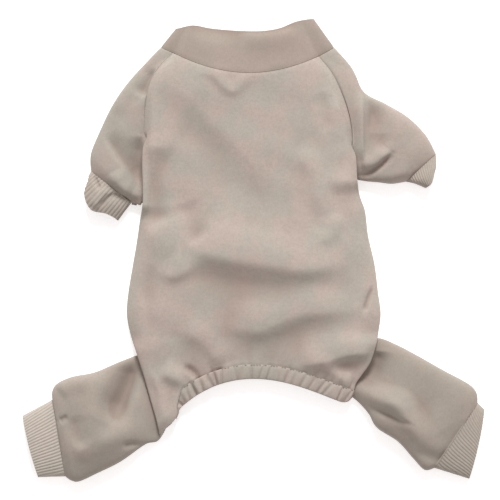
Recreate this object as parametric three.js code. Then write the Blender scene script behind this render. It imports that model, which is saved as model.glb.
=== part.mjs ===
import * as THREE from "three";

// A small dog's four-legged jumpsuit in soft brushed knit, laid on its belly with its back up.
// X runs across the back, +Y towards the collar, +Z up from the surface that it lies on. Millimetres.
// Every piece is a hollow wall of cloth. Sewn pieces share the points of their seam, SEAM_GAP apart.

// Body
const BACK_LENGTH = 250; // neck seam to tail hem, down the middle of the back
const CHEST_WIDTH = 178; // laid flat, just behind the sleeves
const BODY_HEIGHT = 24; // how high the laid body stands
const CLOTH = 1.6; // wall of brushed knit
const SEAM_GAP = 0.4; // clearance between sewn pieces
const SIDE_FOLD = 5; // height of the side fold's outermost line
const UNDER_WRAP = 22; // how far the back panel turns under to its seam with the belly panel
const HIP_FOLD = 3; // the same fold where it lies over a leg
const HIP_TURN = 8; // how far the back panel turns in beneath itself over a leg
const NECK_FOLD = 4.4; // height of the neckline's outermost points

// Collar, hem and cuffs
const COLLAR_HEIGHT = 35; // neck seam to collar edge
const COLLAR_WALL = 2.8; // two layers of cloth
const COLLAR_LOFT = 12; // how high the laid collar stands
const HEM_WIDTH = 11.5; // casing of the tail elastic
const HEM_THICKNESS = 3; // two layers of cloth and the elastic
const HEM_PUCKER = 0.9; // how far a gather stands out or in
const HEM_GATHERS = 13;
const HEM_STEPS = 52;
const CUFF_WALL = 2; // rib knit
const RIB_DEPTH = 0.7;
const SLEEVE_CUFF_RIBS = 34;
const LEG_CUFF_RIBS = 52;
const CUFF_LOFT = 11; // how high a laid cuff stands

// Sleeves and legs
const SLEEVE_LENGTH = 118; // collar to cuff seam, along the shoulder
const SLEEVE_HEIGHT = 17;
const LEG_LENGTH = 95; // under the back panel to the cuff seam, along the middle
const LEG_WIDTH = 65;
const LEG_HEIGHT = 20;
const LEG_COLUMNS = 26;
const LEG_ROOT_HEIGHT = 0.43 * LEG_HEIGHT; // where a leg comes out from under the back panel

const HALF_CHEST = CHEST_WIDTH / 2;
const CROWN_POWER = 5; // flatness of the back between its side folds
const SEAM_POWER = 2.5; // the same between the sleeves
const RUN_ON = 1.5; // a fold's width under the cloth, in fold heights

// Each row of a table as an object with the column names as keys.
function table(columns, rows) {
  const names = columns.split(" ");
  return rows.map((row) => Object.fromEntries(names.map((name, i) => [name, row[i]])));
}

// Sections of the body from neck seam to the tail hem's stitching. left and right are the panel's edges on top:
// the sleeve seam, then the side fold. x in half chests from the spine, y in back lengths from the tail hem; neck
// and hem are the shares of the neckline's and the hem's curve; height and edge are shares of the body's height.
const BODY = table("leftX leftY rightX rightY neck hem height edge", [
  [-0.72, 1.063, 0.61, 1.052, 1.0, 0.0, 0.56, 0.38],
  [-0.85, 1.016, 0.72, 1.003, 0.7, 0.0, 0.68, 0.44],
  [-0.93, 0.961, 0.79, 0.955, 0.45, 0.0, 0.8, 0.48],
  [-0.965, 0.903, 0.855, 0.896, 0.25, 0.0, 0.89, 0.5],
  [-0.98, 0.84, 0.9, 0.84, 0.1, 0.0, 0.95, 0.5],
  [-0.99, 0.769, 0.935, 0.774, 0.0, 0.0, 1.0, 0.48],
  [-0.995, 0.695, 0.948, 0.711, 0.0, 0.0, 1.0, 0.46],
  [-0.99, 0.627, 0.957, 0.653, 0.0, 0.0, 1.0, 0.42],
  [-0.993, 0.571, 0.982, 0.601, 0.0, 0.0, 1.0, 0.36],
  [-1.02, 0.519, 1.032, 0.549, 0.0, 0.0, 1.0, 0.3],
  [-1.049, 0.448, 1.059, 0.471, 0.0, 0.0, 1.0, 0.3],
  [-1.09, 0.364, 1.118, 0.377, 0.0, 0.0, 1.0, 0.3],
  [-1.128, 0.279, 1.15, 0.286, 0.0, 0.0, 1.0, 0.3],
  [-1.138, 0.214, 1.173, 0.221, 0.0, 0.0, 0.98, 0.3],
  [-1.104, 0.149, 1.155, 0.166, 0.0, 0.0, 0.95, 0.3],
  [-1.045, 0.086, 1.127, 0.114, 0.0, 0.25, 0.9, 0.3],
  [-0.982, 0.016, 1.073, 0.058, 0.0, 0.45, 0.82, 0.3],
  [-0.923, -0.058, 0.991, 0.016, 0.0, 0.63, 0.72, 0.3],
  [-0.864, -0.133, 0.946, -0.008, 0.0, 0.82, 0.56, 0.3],
  [-0.832, -0.192, 0.93, -0.03, 0.0, 1.0, 0.4, 0.3],
]);
const LEFT_ARMPIT = 8; // body sections where the sleeves' top seams end
const RIGHT_ARMPIT = 7;
const BELLY_END = 13; // the belly panel stops short of the legs
const HIP_START = 14; // from here to the next section the side fold rises over the leg
const BACK_SECTIONS = [
  0, 1, 2, 3, 4, 5, 6, 7, 7.33, 7.67, 8, 8.33, 8.67, 9, 9.5, 10, 10.5, 11, 11.5, 12, 12.5, 13, 13.5, 14, 14.5, 15,
  15.5, 16, 16.5, 17, 17.5, 18, 18.5, 19,
];
const NECK_SAG = 0.062; // the neckline's dip at the spine, in back lengths
const BELLY_NECK_SAG = 0.1;
const HEM_CORNERS = { left: [-0.832, -0.192], right: [0.882, -0.075] }; // of the tail hem, as in BODY
const HEM_RISE = 0.14; // how far the tail hem's edge is cut up between the legs, in back lengths
const HEM_LEAN = [0.8, 1.2]; // powers that put the hem's highest point left of the spine
const HEM_START = [0.08, 0.125]; // shares of the hem's length over which the stitching leaves its edge
const CASING_START = 0.137; // share of the hem's length where the casing comes out
// The casing's profile: from its stitching to its edge over the top, then back; side in half thicknesses.
const HEM_PROFILE = table("across side", [
  [0, 0.55],
  [0.35, 1],
  [0.75, 0.95],
  [0.97, 0.5],
  [1, 0],
  [0.97, -0.5],
  [0.75, -0.95],
  [0.35, -1],
  [0, -0.55],
]);
const SIDE_COLUMNS = 4;
const TOP_COLUMNS = 14;
const BELLY_COLUMNS = 8;

// The belly panel's edge under a sleeve, inwards of the sleeve's seam on top, in under-wraps.
const BELLY_INSET = [0.3, 0.5, 0.62, 0.7, 0.75, 0.78, 0.82, 0.9, 1, 1];

// Folds of the cloth on top. A fold runs through three points, x in half chests and y in back lengths. height is in
// body heights, minus for a valley; up and down are its reach towards the collar and the tail, in back lengths.
const FOLDS = table("x1 y1 x2 y2 x3 y3 height up down", [
  [-0.75, 0.37, -0.35, 0.41, 0.3, 0.385, 0.11, 0.09, 0.03],
  [0.3, 0.385, 0.6, 0.37, 0.86, 0.41, 0.11, 0.09, 0.03],
  [-0.8, 0.315, -0.4, 0.33, 0.3, 0.315, -0.12, 0.03, 0.045],
  [0.3, 0.315, 0.6, 0.32, 0.85, 0.35, -0.1, 0.03, 0.045],
  [-0.05, 0.185, 0.4, 0.245, 1.0, 0.25, 0.1, 0.05, 0.022],
  [0.0, 0.135, 0.45, 0.18, 1.0, 0.205, -0.1, 0.022, 0.035],
  [0.5, 0.07, 0.8, 0.095, 1.1, 0.1, 0.1, 0.04, 0.02],
  [0.5, 0.03, 0.75, 0.05, 0.95, 0.06, -0.1, 0.02, 0.03],
  [-0.95, 0.96, -0.55, 0.87, -0.02, 0.7, -0.07, 0.03, 0.03],
  [-0.5, 0.15, -0.4, 0.12, -0.3, 0.07, -0.1, 0.025, 0.025],
  [-0.95, 0.45, -0.82, 0.48, -0.7, 0.51, 0.1, 0.025, 0.025],
]);

// Sleeves: the flattened tube's shoulder and armpit edges at each section, measured from the collar's corner. Along
// runs to the cuff and out away from the body, both in sleeve lengths. height is a share of the sleeve's height.
const LEFT_SLEEVE = {
  bearing: 240.7, // of the shoulder edge in plan, degrees from +X
  out: -1, // side of that edge that faces away from the body
  sections: table("frontAlong frontOut backAlong backOut height", [
    [0.295, 0.074, 0.992, -0.346, 0.85],
    [0.505, 0.096, 1.022, -0.388, 0.95],
    [0.72, 0.084, 1.035, -0.395, 0.95],
    [0.88, 0.062, 1.04, -0.375, 0.9],
    [0.98, 0.003, 1.035, -0.345, 0.66],
  ]),
};
const RIGHT_SLEEVE = {
  bearing: -46,
  out: 1,
  sections: table("frontAlong frontOut backAlong backOut height", [
    [0.19, -0.01, 0.735, -0.49, 0.8],
    [0.365, -0.065, 0.78, -0.506, 0.9],
    [0.53, -0.015, 0.83, -0.473, 0.85],
    [0.7, 0.03, 0.885, -0.425, 0.95],
    [0.875, 0.033, 0.955, -0.366, 0.9],
    [1.015, -0.005, 1.01, -0.288, 0.66],
  ]),
};

// Collar: the neckline's outermost points and its own edge's ends, as in BODY, and how far that edge stands beyond
// the line between them, in collar heights, at even steps from left to right.
const COLLAR_CORNERS = { left: [-0.824, 1.083], right: [0.745, 1.083] };
const COLLAR_ENDS = { left: [-0.693, 1.139], right: [0.563, 1.139] };
const COLLAR_EDGE = table("rise", [[0.02], [0.09], [0.02], [-0.02], [-0.045], [-0.045], [0.02], [0.18], [0.25]]);
const COLLAR_ROWS = 4;

// Legs: front and back edges at each section, measured from the root's middle. Along is in leg lengths, out in
// leg widths, height a share of the leg's height. The first two sections lie under the back panel.
const LEFT_LEG = {
  root: [-0.836, -0.026], // as in BODY
  bearing: 205.5,
  out: -1,
  sections: table("frontAlong frontOut backAlong backOut height", [
    [-0.05, 0.46, 0.06, -0.43, 0.43],
    [0.045, 0.5, 0.2, -0.57, 0.43],
    [0.22, 0.525, 0.32, -0.545, 0.75],
    [0.44, 0.54, 0.57, -0.605, 1],
    [0.63, 0.61, 0.8, -0.61, 1],
    [0.77, 0.615, 0.96, -0.605, 0.95],
    [0.84, 0.55, 1.02, -0.55, 0.75],
    [0.865, 0.459, 1.05, -0.475, 0.57],
  ]),
};
const RIGHT_LEG = {
  root: [0.909, 0.032],
  bearing: -31.7,
  out: 1,
  sections: table("frontAlong frontOut backAlong backOut height", [
    [-0.02, 0.38, 0.02, -0.28, 0.43],
    [0.045, 0.525, 0.16, -0.28, 0.43],
    [0.21, 0.575, 0.31, -0.34, 0.75],
    [0.42, 0.597, 0.435, -0.435, 1],
    [0.66, 0.61, 0.65, -0.445, 1],
    [0.9, 0.63, 0.84, -0.525, 0.95],
    [1.0, 0.59, 0.97, -0.57, 0.75],
    [1.055, 0.49, 1.035, -0.485, 0.57],
  ]),
};

// Cuffs: sections after the seam, measured from the seam's two ends in cuff lengths along the limb's bearing, and
// outwards. height is a share of the cuff's loft.
const CUFF_LENGTH = 26;
const cuffColumns = "frontAlong frontOut backAlong backOut height";
const LEFT_SLEEVE_CUFF = table(cuffColumns, [
  [0.52, 0.04, 0.3, 0.0, 1.15],
  [1.06, -0.3, 0.75, 0.08, 1],
]);
const RIGHT_SLEEVE_CUFF = table(cuffColumns, [
  [0.28, -0.25, 0.24, 0.16, 1.3],
  [0.42, -0.48, 0.58, 0.31, 1.4],
]);
const LEFT_LEG_CUFF = table(cuffColumns, [[1.07, -0.05, 0.78, 0.34, 1]]);
const RIGHT_LEG_CUFF = table(cuffColumns, [[0.3, -0.07, 1.1, 0.28, 1]]);

const v3 = (x, y, z) => new THREE.Vector3(x, y, z);
const { lerp, smoothstep, degToRad } = THREE.MathUtils;

// The value of each column between two rows, on a smooth curve through all of them.
function between(rows, t) {
  const i = Math.min(Math.floor(t), rows.length - 2);
  const f = t - i;
  const near = [i - 1, i, i + 1, i + 2].map((k) => rows[THREE.MathUtils.clamp(k, 0, rows.length - 1)]);
  const blend = (name) => {
    const [a, b, c, d] = near.map((row) => row[name]);
    return b + 0.5 * f * (c - a + f * (2 * a - 5 * b + 4 * c - d + f * (3 * (b - c) + d - a)));
  };
  return Object.fromEntries(Object.keys(rows[0]).map((name) => [name, blend(name)]));
}

// A point of the plan from shares of the body's sizes.
const onBody = ([x, y]) => new THREE.Vector2(x * HALF_CHEST, y * BACK_LENGTH);

// How high the folds lift the cloth at a point in plan: a bell over the distance from each fold's line,
// which fades out past the line's ends.
function foldLift(x, y) {
  let lift = 0;
  for (const fold of FOLDS) {
    const line = [
      onBody([fold.x1, fold.y1]),
      onBody([fold.x2, fold.y2]),
      onBody([fold.x3, fold.y3]),
    ];
    let nearest = Infinity;
    let side = 0;
    for (let k = 0; k < 2; k++) {
      const along = line[k + 1].clone().sub(line[k]);
      const share = THREE.MathUtils.clamp(
        ((x - line[k].x) * along.x + (y - line[k].y) * along.y) / along.lengthSq(),
        0,
        1,
      );
      const dx = x - line[k].x - share * along.x;
      const dy = y - line[k].y - share * along.y;
      const distance = Math.hypot(dx, dy);
      if (distance < nearest) {
        nearest = distance;
        side = dy;
      }
    }
    const reach = BACK_LENGTH * (side > 0 ? fold.up : fold.down);
    lift += fold.height * BODY_HEIGHT * Math.exp(-((nearest / reach) ** 2));
  }
  return lift;
}

// The tail hem's outer edge and, inwards of it, the stitch line of its casing. u runs from left to right.
function hemEdge(u) {
  const [a, b] = HEM_LEAN;
  const bow = (s) => s ** a * (1 - s) ** b;
  const edge = onBody(HEM_CORNERS.left).lerp(onBody(HEM_CORNERS.right), u);
  edge.y += (HEM_RISE * BACK_LENGTH * bow(u)) / bow(a / (a + b));
  return edge;
}
function hemInward(u) {
  const step = 0.01;
  const along = hemEdge(Math.min(1, u + step)).sub(hemEdge(Math.max(0, u - step)));
  return new THREE.Vector2(-along.y, along.x).normalize();
}
function hemStitch(u) {
  return hemEdge(u).addScaledVector(hemInward(u), HEM_WIDTH * smoothstep(u, ...HEM_START));
}

// How far the row at this section leaves the straight line between its two edges, in plan.
function rowCurve(row, u) {
  const chord = hemStitch(0).lerp(hemStitch(1), u);
  const curve = hemStitch(u).sub(chord).multiplyScalar(row.hem);
  curve.y -= row.neck * NECK_SAG * BACK_LENGTH * 4 * u * (1 - u);
  return curve;
}

// Weights, 0 to 1, of the side fold below the armpit and of its rise over the leg.
const folded = (t, armpit) => THREE.MathUtils.clamp(t - armpit, 0, 1);
const risen = (t) => smoothstep(t, HIP_START, HIP_START + 1);

// The side fold at a section: its weight, the level below it, its own height and that of the panel's edge.
function sideFold(t, isLeft) {
  const weight = folded(t, isLeft ? LEFT_ARMPIT : RIGHT_ARMPIT);
  const under = risen(t) * (LEG_ROOT_HEIGHT + SEAM_GAP);
  const height = lerp(SIDE_FOLD, HIP_FOLD, risen(t));
  const edge = lerp(between(BODY, t).edge * BODY_HEIGHT, under + height, weight);
  return { weight, under, height, edge };
}

// A point on top of the back at a section, u from its left edge to its right one.
function topPoint(t, u) {
  const row = between(BODY, t);
  const { weight, edge } = sideFold(t, u < 0.5);
  const plan = onBody([row.leftX, row.leftY]).lerp(onBody([row.rightX, row.rightY]), u).add(rowCurve(row, u));
  const power = lerp(SEAM_POWER, CROWN_POWER, weight);
  const bulge = Math.max(0, 1 - Math.abs(2 * u - 1) ** power) ** lerp(1, 0.5, weight);
  return v3(plan.x, plan.y, edge + (row.height * BODY_HEIGHT - edge + foldLift(plan.x, plan.y)) * bulge);
}

// The back panel's surface at a section. where is the column's number: the first and last SIDE_COLUMNS go round the
// side folds to the underside, or lie beside the sleeve's seam; the rest cross the back.
function backPoint(t, where) {
  const row = between(BODY, t);
  const last = 2 * SIDE_COLUMNS + TOP_COLUMNS;
  const isLeft = where < last / 2;
  const { weight: fold, under, height: foldHeight, edge } = sideFold(t, isLeft);
  const left = onBody([row.leftX, row.leftY]);
  const right = onBody([row.rightX, row.rightY]);
  const strip = (4 * SIDE_FOLD) / 3;
  const firstTop = lerp(strip, strip / 2, fold) / left.distanceTo(right);
  const onTop = (u) => topPoint(t, isLeft ? u : 1 - u);

  const fromEdge = Math.min(where, last - where);
  if (fromEdge >= SIDE_COLUMNS) {
    const share = (1 - Math.cos((Math.PI * (fromEdge - SIDE_COLUMNS)) / TOP_COLUMNS)) / 2;
    return onTop(firstTop + (1 - 2 * firstTop) * share);
  }
  const beside = onTop((fromEdge / SIDE_COLUMNS) * firstTop);
  if (fold === 0) return beside;
  const turn = lerp(UNDER_WRAP, HIP_TURN, risen(t));
  const quarter = ((SIDE_COLUMNS - 1 - fromEdge) / (SIDE_COLUMNS - 2)) * (Math.PI / 2);
  const inward = fromEdge === 0 ? turn : RUN_ON * foldHeight * (1 - Math.cos(quarter));
  const drop = fromEdge === 0 ? 1 : Math.sin(quarter);
  const around = onTop(inward / left.distanceTo(right));
  around.z = edge + (under - edge) * drop;
  return beside.lerp(around, fold);
}

// Unit normals of a grid of points, from its neighbours. closed grids join their last column to the first.
function normalsOf(grid, closed) {
  const normals = grid.map((row, i) =>
    row.map((_, j) => {
      const n = row.length;
      const next = closed ? (j + 1) % n : Math.min(j + 1, n - 1);
      const back = closed ? (j + n - 1) % n : Math.max(j - 1, 0);
      const across = row[next].clone().sub(row[back]);
      const along = grid[Math.min(i + 1, grid.length - 1)][j].clone().sub(grid[Math.max(i - 1, 0)][j]);
      return across.cross(along).normalize();
    }),
  );
  // Away from the ring's middle, or upwards.
  const out = grid.map((row, i) => {
    const middle = row.reduce((sum, p) => sum.add(p), v3(0, 0, 0)).divideScalar(row.length);
    const away = (p, j) => normals[i][j].dot(closed ? p.clone().sub(middle) : v3(0, 0, 1));
    return row.reduce((sum, p, j) => sum + away(p, j), 0);
  });
  const sign = out.reduce((a, b) => a + b, 0) < 0 ? -1 : 1;
  return normals.map((row) => row.map((n) => n.multiplyScalar(sign)));
}

// Gives the points that several grids share one normal, so that their walls meet edge to edge.
function shareNormals(pieces) {
  const shared = new Map();
  const keyOf = (p) => p.toArray().map((c) => c.toFixed(3)).join();
  for (const { grid, normals } of pieces)
    grid.flat().forEach((p, k) => {
      const key = keyOf(p);
      if (!shared.has(key)) shared.set(key, v3(0, 0, 0));
      shared.get(key).add(normals.flat()[k]);
    });
  for (const piece of pieces)
    piece.normals = piece.grid.map((row) => row.map((p) => shared.get(keyOf(p)).clone().normalize()));
}

// The direction on the surface that leads from a seam into the piece that holds the points inner.
function intoPiece(seam, normals, inner, closed) {
  return seam.map((p, j) => {
    const n = seam.length;
    const next = seam[closed ? (j + 1) % n : Math.min(j + 1, n - 1)];
    const back = seam[closed ? (j + n - 1) % n : Math.max(j - 1, 0)];
    const side = next.clone().sub(back).cross(normals[j]).normalize();
    return side.dot(inner[j].clone().sub(p)) < 0 ? side.negate() : side;
  });
}

// A seam's point moved by half the gap into its piece. What lies on the surface stays on it.
function offSeam(p, inwards) {
  const q = p.clone().addScaledVector(inwards, SEAM_GAP / 2);
  if (p.z === 0) q.z = 0;
  return q;
}

// A closed mesh with its faces turned outwards.
function solid(points, index) {
  let volume = 0;
  for (let k = 0; k < index.length; k += 3) {
    const [a, b, c] = [0, 1, 2].map((n) => points[index[k + n]]);
    volume += a.dot(b.clone().cross(c));
  }
  if (volume < 0)
    for (let k = 0; k < index.length; k += 3) [index[k], index[k + 1]] = [index[k + 1], index[k]];
  const geometry = new THREE.BufferGeometry();
  const positions = points.flatMap((p) => p.toArray());
  geometry.setAttribute("position", new THREE.Float32BufferAttribute(positions, 3));
  geometry.setIndex(index);
  return geometry;
}

// A solid wall between an outer grid of points and the inner one under it.
function wall(outer, inner, closed) {
  const rows = outer.length;
  const columns = outer[0].length;
  const spans = closed ? columns : columns - 1;
  const outside = (i, j) => i * columns + (j % columns);
  const inside = (i, j) => rows * columns + outside(i, j);
  const index = [];
  const quad = (a, b, c, d) => index.push(a, b, c, a, c, d);
  for (let i = 0; i < rows - 1; i++)
    for (let j = 0; j < spans; j++) {
      quad(outside(i, j), outside(i, j + 1), outside(i + 1, j + 1), outside(i + 1, j));
      quad(inside(i, j), inside(i + 1, j), inside(i + 1, j + 1), inside(i, j + 1));
    }
  for (let j = 0; j < spans; j++) {
    quad(outside(0, j), inside(0, j), inside(0, j + 1), outside(0, j + 1));
    quad(outside(rows - 1, j), outside(rows - 1, j + 1), inside(rows - 1, j + 1), inside(rows - 1, j));
  }
  if (!closed)
    for (let i = 0; i < rows - 1; i++) {
      quad(outside(i, 0), outside(i + 1, 0), inside(i + 1, 0), inside(i, 0));
      quad(outside(i, spans), inside(i, spans), inside(i + 1, spans), outside(i + 1, spans));
    }
  return solid([...outer.flat(), ...inner.flat()], index);
}

const inset = (grid, normals, depth) =>
  grid.map((row, i) => row.map((p, j) => p.clone().addScaledVector(normals[i][j], -depth)));

// Back panel. The sleeves, the collar and the belly panel are sewn to the edges of its grid.
const LAST_COLUMN = 2 * SIDE_COLUMNS + TOP_COLUMNS;
const backColumns = [...Array(LAST_COLUMN + 1).keys()];
const backGrid = BACK_SECTIONS.map((t) => backColumns.map((j) => backPoint(t, j)));
const back = { grid: backGrid, normals: normalsOf(backGrid, false) };

// Belly panel: flat on the surface, from the chest's neckline to its hem in front of the legs.
function bellyEdge(t, side) {
  const row = between(BODY, t);
  const armpit = side === "left" ? LEFT_ARMPIT : RIGHT_ARMPIT;
  if (t >= armpit + 1) return backGrid[BACK_SECTIONS.indexOf(t)][side === "left" ? 0 : LAST_COLUMN].clone();
  const corner = onBody([row[side + "X"], row[side + "Y"]]);
  const whole = Math.floor(t);
  const inward = UNDER_WRAP * lerp(BELLY_INSET[whole], BELLY_INSET[whole + 1], t - whole);
  return v3(corner.x + (side === "left" ? inward : -inward), corner.y, 0);
}
const bellyGrid = BACK_SECTIONS.filter((t) => t <= BELLY_END).map((t) => {
  const left = bellyEdge(t, "left");
  const right = bellyEdge(t, "right");
  const { neck } = between(BODY, t);
  return [...Array(BELLY_COLUMNS + 1).keys()].map((j) => {
    const u = j / BELLY_COLUMNS;
    const p = left.clone().lerp(right, u);
    p.y -= neck * BELLY_NECK_SAG * BACK_LENGTH * 4 * u * (1 - u);
    return p;
  });
});
const belly = { grid: bellyGrid, normals: bellyGrid.map((row) => row.map(() => v3(0, 0, -1))) };

// A flattened ring in the upright plane through two edge points, rounded above and flat on the surface below.
// Shares 0 to 1 run over the top from front to back, 1 to 2 back underneath.
function flatRing(front, back, height, shares) {
  const middle = front.clone().add(back).multiplyScalar(0.5);
  const half = back.clone().sub(front).multiplyScalar(0.5);
  const waist = 0.38 * height;
  const steps = 48;
  const halves = [0, 1].map((under) => {
    const points = [...Array(steps + 1).keys()].map((k) => {
      const angle = Math.PI * (1 - k / steps - under);
      const c = Math.cos(angle);
      const s = Math.sin(angle);
      const z = under ? waist * Math.max(0, 1 + s / 0.6) ** 2 : waist + (height - waist) * Math.max(0, s) ** 0.75;
      return v3(middle.x + half.x * c, middle.y + half.y * c, z);
    });
    const lengths = points.map(() => 0);
    points.slice(1).forEach((p, k) => (lengths[k + 1] = lengths[k] + p.distanceTo(points[k])));
    return { points, lengths };
  });
  return shares.map((share) => {
    const { points, lengths } = halves[Math.floor(share) % 2];
    const target = (share % 1) * lengths[steps];
    const k = Math.max(1, lengths.findIndex((length) => length >= target));
    return points[k - 1].clone().lerp(points[k], (target - lengths[k - 1]) / (lengths[k] - lengths[k - 1]));
  });
}

// The two edge points of each of a limb's sections, in plan, and the sections' heights.
function limbSections(limb, origin, length, width, height) {
  const bearing = degToRad(limb.bearing);
  const ahead = new THREE.Vector2(Math.cos(bearing), Math.sin(bearing));
  const outward = new THREE.Vector2(-ahead.y, ahead.x).multiplyScalar(limb.out);
  const place = (along, out) =>
    origin.clone().addScaledVector(ahead, along * length).addScaledVector(outward, out * width);
  return limb.sections.map((row) => ({
    front: place(row.frontAlong, row.frontOut),
    back: place(row.backAlong, row.backOut),
    height: row.height * height,
  }));
}

const ringOf = ({ front, back, height }, shares) => flatRing(front, back, height, shares);

// The unit direction in plan across a flat section, towards the limb's end.
function sectionAxis({ front, back }, bearing) {
  const axis = v3(back.y - front.y, front.x - back.x, 0).normalize();
  const angle = degToRad(bearing);
  return axis.dot(v3(Math.cos(angle), Math.sin(angle), 0)) < 0 ? axis.negate() : axis;
}

// Takes the part along an axis out of each normal, so that the wall's end stays in the section's plane.
const inPlane = (normals, axis) => normals.map((n) => n.clone().addScaledVector(axis, -n.dot(axis)).normalize());

const moved = (points, axis, distance) => points.map((p) => p.clone().addScaledVector(axis, distance));

// The points of the neckline round the shoulder, from the back panel's corner to the belly panel's.
function shoulderNeck(side) {
  const top = backGrid[0][side === "left" ? 0 : LAST_COLUMN];
  const under = bellyGrid[0][side === "left" ? 0 : BELLY_COLUMNS];
  const corner = onBody(COLLAR_CORNERS[side]);
  const middle = top.clone().add(under).multiplyScalar(0.5);
  const outermost = v3(corner.x, corner.y, NECK_FOLD).sub(middle);
  return [0.25, 0, -0.25].map((turn) => {
    const upright = (turn > 0 ? top : under).clone().sub(middle).multiplyScalar(Math.sin(Math.PI * Math.abs(turn)));
    return middle.clone().addScaledVector(outermost, Math.cos(Math.PI * turn)).add(upright);
  });
}

// Sleeve: its first ring is the seam with the back panel, the belly panel and the collar.
const NECK_SHARE = 0.06; // half of the ring's shoulder part that is sewn to the collar
const ARMPIT_SHARE = 0.93; // where the seam on top ends and turns under the body
function sleeve(limb, side) {
  const isLeft = side === "left";
  const sewn = BACK_SECTIONS.filter((t) => t <= (isLeft ? LEFT_ARMPIT : RIGHT_ARMPIT) + 1);
  const top = sewn.map((t, i) => backGrid[i][isLeft ? 0 : LAST_COLUMN]);
  const under = sewn.map((t, i) => bellyGrid[i][isLeft ? 0 : BELLY_COLUMNS]).reverse();
  const shares = (points) => {
    const lengths = [0];
    points.slice(1).forEach((p, k) => lengths.push(lengths[k] + p.distanceTo(points[k])));
    return lengths.map((length) => length / lengths[lengths.length - 1]);
  };
  const armpit = sewn.indexOf(isLeft ? LEFT_ARMPIT : RIGHT_ARMPIT);
  const topShares = [
    ...shares(top.slice(0, armpit + 1)).map((share) => lerp(NECK_SHARE, ARMPIT_SHARE, share)),
    ...shares(top.slice(armpit)).slice(1).map((share) => lerp(ARMPIT_SHARE, 1, share)),
  ];
  const underShares = shares(under).map((share) => 1 + share * (1 - NECK_SHARE));
  const neckShares = [2 - NECK_SHARE / 2, 0, NECK_SHARE / 2];
  const seam = [...top, ...under.slice(1), ...shoulderNeck(side).reverse()].map((p) => p.clone());
  const columns = [...topShares, ...underShares.slice(1), ...neckShares];
  const sections = limbSections(limb, onBody(COLLAR_CORNERS[side]), SLEEVE_LENGTH, SLEEVE_LENGTH, SLEEVE_HEIGHT);
  const grid = [seam, ...sections.map((section) => ringOf(section, columns))];
  return { limb, end: sections[sections.length - 1], grid, normals: normalsOf(grid, true) };
}
const sleeveLeft = sleeve(LEFT_SLEEVE, "left");
const sleeveRight = sleeve(RIGHT_SLEEVE, "right");

// Leg: a tube from under the back panel to the cuff seam.
function leg(limb) {
  const sections = limbSections(limb, onBody(limb.root), LEG_LENGTH, LEG_WIDTH, LEG_HEIGHT);
  const columns = [...Array(LEG_COLUMNS).keys()].map((k) => (2 * k) / LEG_COLUMNS);
  const grid = sections.map((section) => ringOf(section, columns));
  return { limb, end: sections[sections.length - 1], grid, normals: normalsOf(grid, true) };
}
const legLeft = leg(LEFT_LEG);
const legRight = leg(RIGHT_LEG);

// Collar: a doubled band from the neckline to its own edge.
const neckline = [
  ...backGrid[0],
  ...shoulderNeck("right"),
  ...[...bellyGrid[0]].reverse(),
  ...shoulderNeck("left").reverse(),
].map((p) => p.clone());
const collarGrid = [...Array(COLLAR_ROWS + 1).keys()].map((i) => {
  const share = i / COLLAR_ROWS;
  const [left, right] = [COLLAR_ENDS.left, COLLAR_ENDS.right].map(onBody);
  return neckline.map((p, j) => {
    const corners = [onBody(COLLAR_CORNERS.left), onBody(COLLAR_CORNERS.right)];
    const u = THREE.MathUtils.clamp((p.x - corners[0].x) / (corners[1].x - corners[0].x), 0, 1);
    const rise = between(COLLAR_EDGE, u * (COLLAR_EDGE.length - 1)).rise * COLLAR_HEIGHT;
    const plan = left.clone().lerp(right, u);
    const across = Math.sqrt(1 - Math.min(1, Math.abs(2 * u - 1)) ** 3);
    const above = j <= LAST_COLUMN || p.z > NECK_FOLD;
    const z = COLLAR_LOFT * (above ? 0.4 + 0.6 * across : 0.4 * (1 - across));
    return p.clone().lerp(v3(plan.x, plan.y + rise, z), share);
  });
});
const collar = { grid: collarGrid, normals: normalsOf(collarGrid, true) };

shareNormals([back, belly, sleeveLeft, sleeveRight, collar]);

// A flat panel or the back: edges named in sides are moved off their seams by half the gap.
function panelGeometry({ grid, normals }, sides) {
  const rows = grid.length - 1;
  const last = grid[0].length - 1;
  const outer = grid.map((row) => row.map((p) => p.clone()));
  const column = (lines, j) => lines.map((row) => row[j]);
  const edges = {
    first: [outer[0], grid[0], normals[0], grid[1]],
    last: [outer[rows], grid[rows], normals[rows], grid[rows - 1]],
    left: [column(outer, 0), column(grid, 0), column(normals, 0), column(grid, 1)],
    right: [column(outer, last), column(grid, last), column(normals, last), column(grid, last - 1)],
  };
  for (const side of sides) {
    const [target, seam, seamNormals, inner] = edges[side];
    const inwards = intoPiece(seam, seamNormals, inner, false);
    target.forEach((p, k) => p.copy(offSeam(p, inwards[k])));
  }
  return wall(outer, inset(outer, normals, CLOTH), false);
}

// A tube sewn along its first ring, or free there, and cut square at its cuff seam.
function tubeGeometry({ grid, normals, limb, end }, thickness, sewn) {
  const last = grid.length - 1;
  const axis = sectionAxis(end, limb.bearing);
  const first = sewn ? intoPiece(grid[0], normals[0], grid[1], true) : null;
  const outer = grid.map((row, i) => {
    if (i === 0 && sewn) return row.map((p, j) => offSeam(p, first[j]));
    return i === last ? moved(row, axis, -SEAM_GAP / 2) : row;
  });
  const walls = normals.map((row, i) => (i === last ? inPlane(row, axis) : row));
  return wall(outer, inset(outer, walls, thickness), true);
}

function collarGeometry() {
  const first = intoPiece(collar.grid[0], collar.normals[0], collar.grid[1], true);
  const outer = collar.grid.map((row, i) => (i > 0 ? row : row.map((p, j) => offSeam(p, first[j]))));
  return wall(outer, inset(outer, collar.normals, COLLAR_WALL), true);
}

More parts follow.
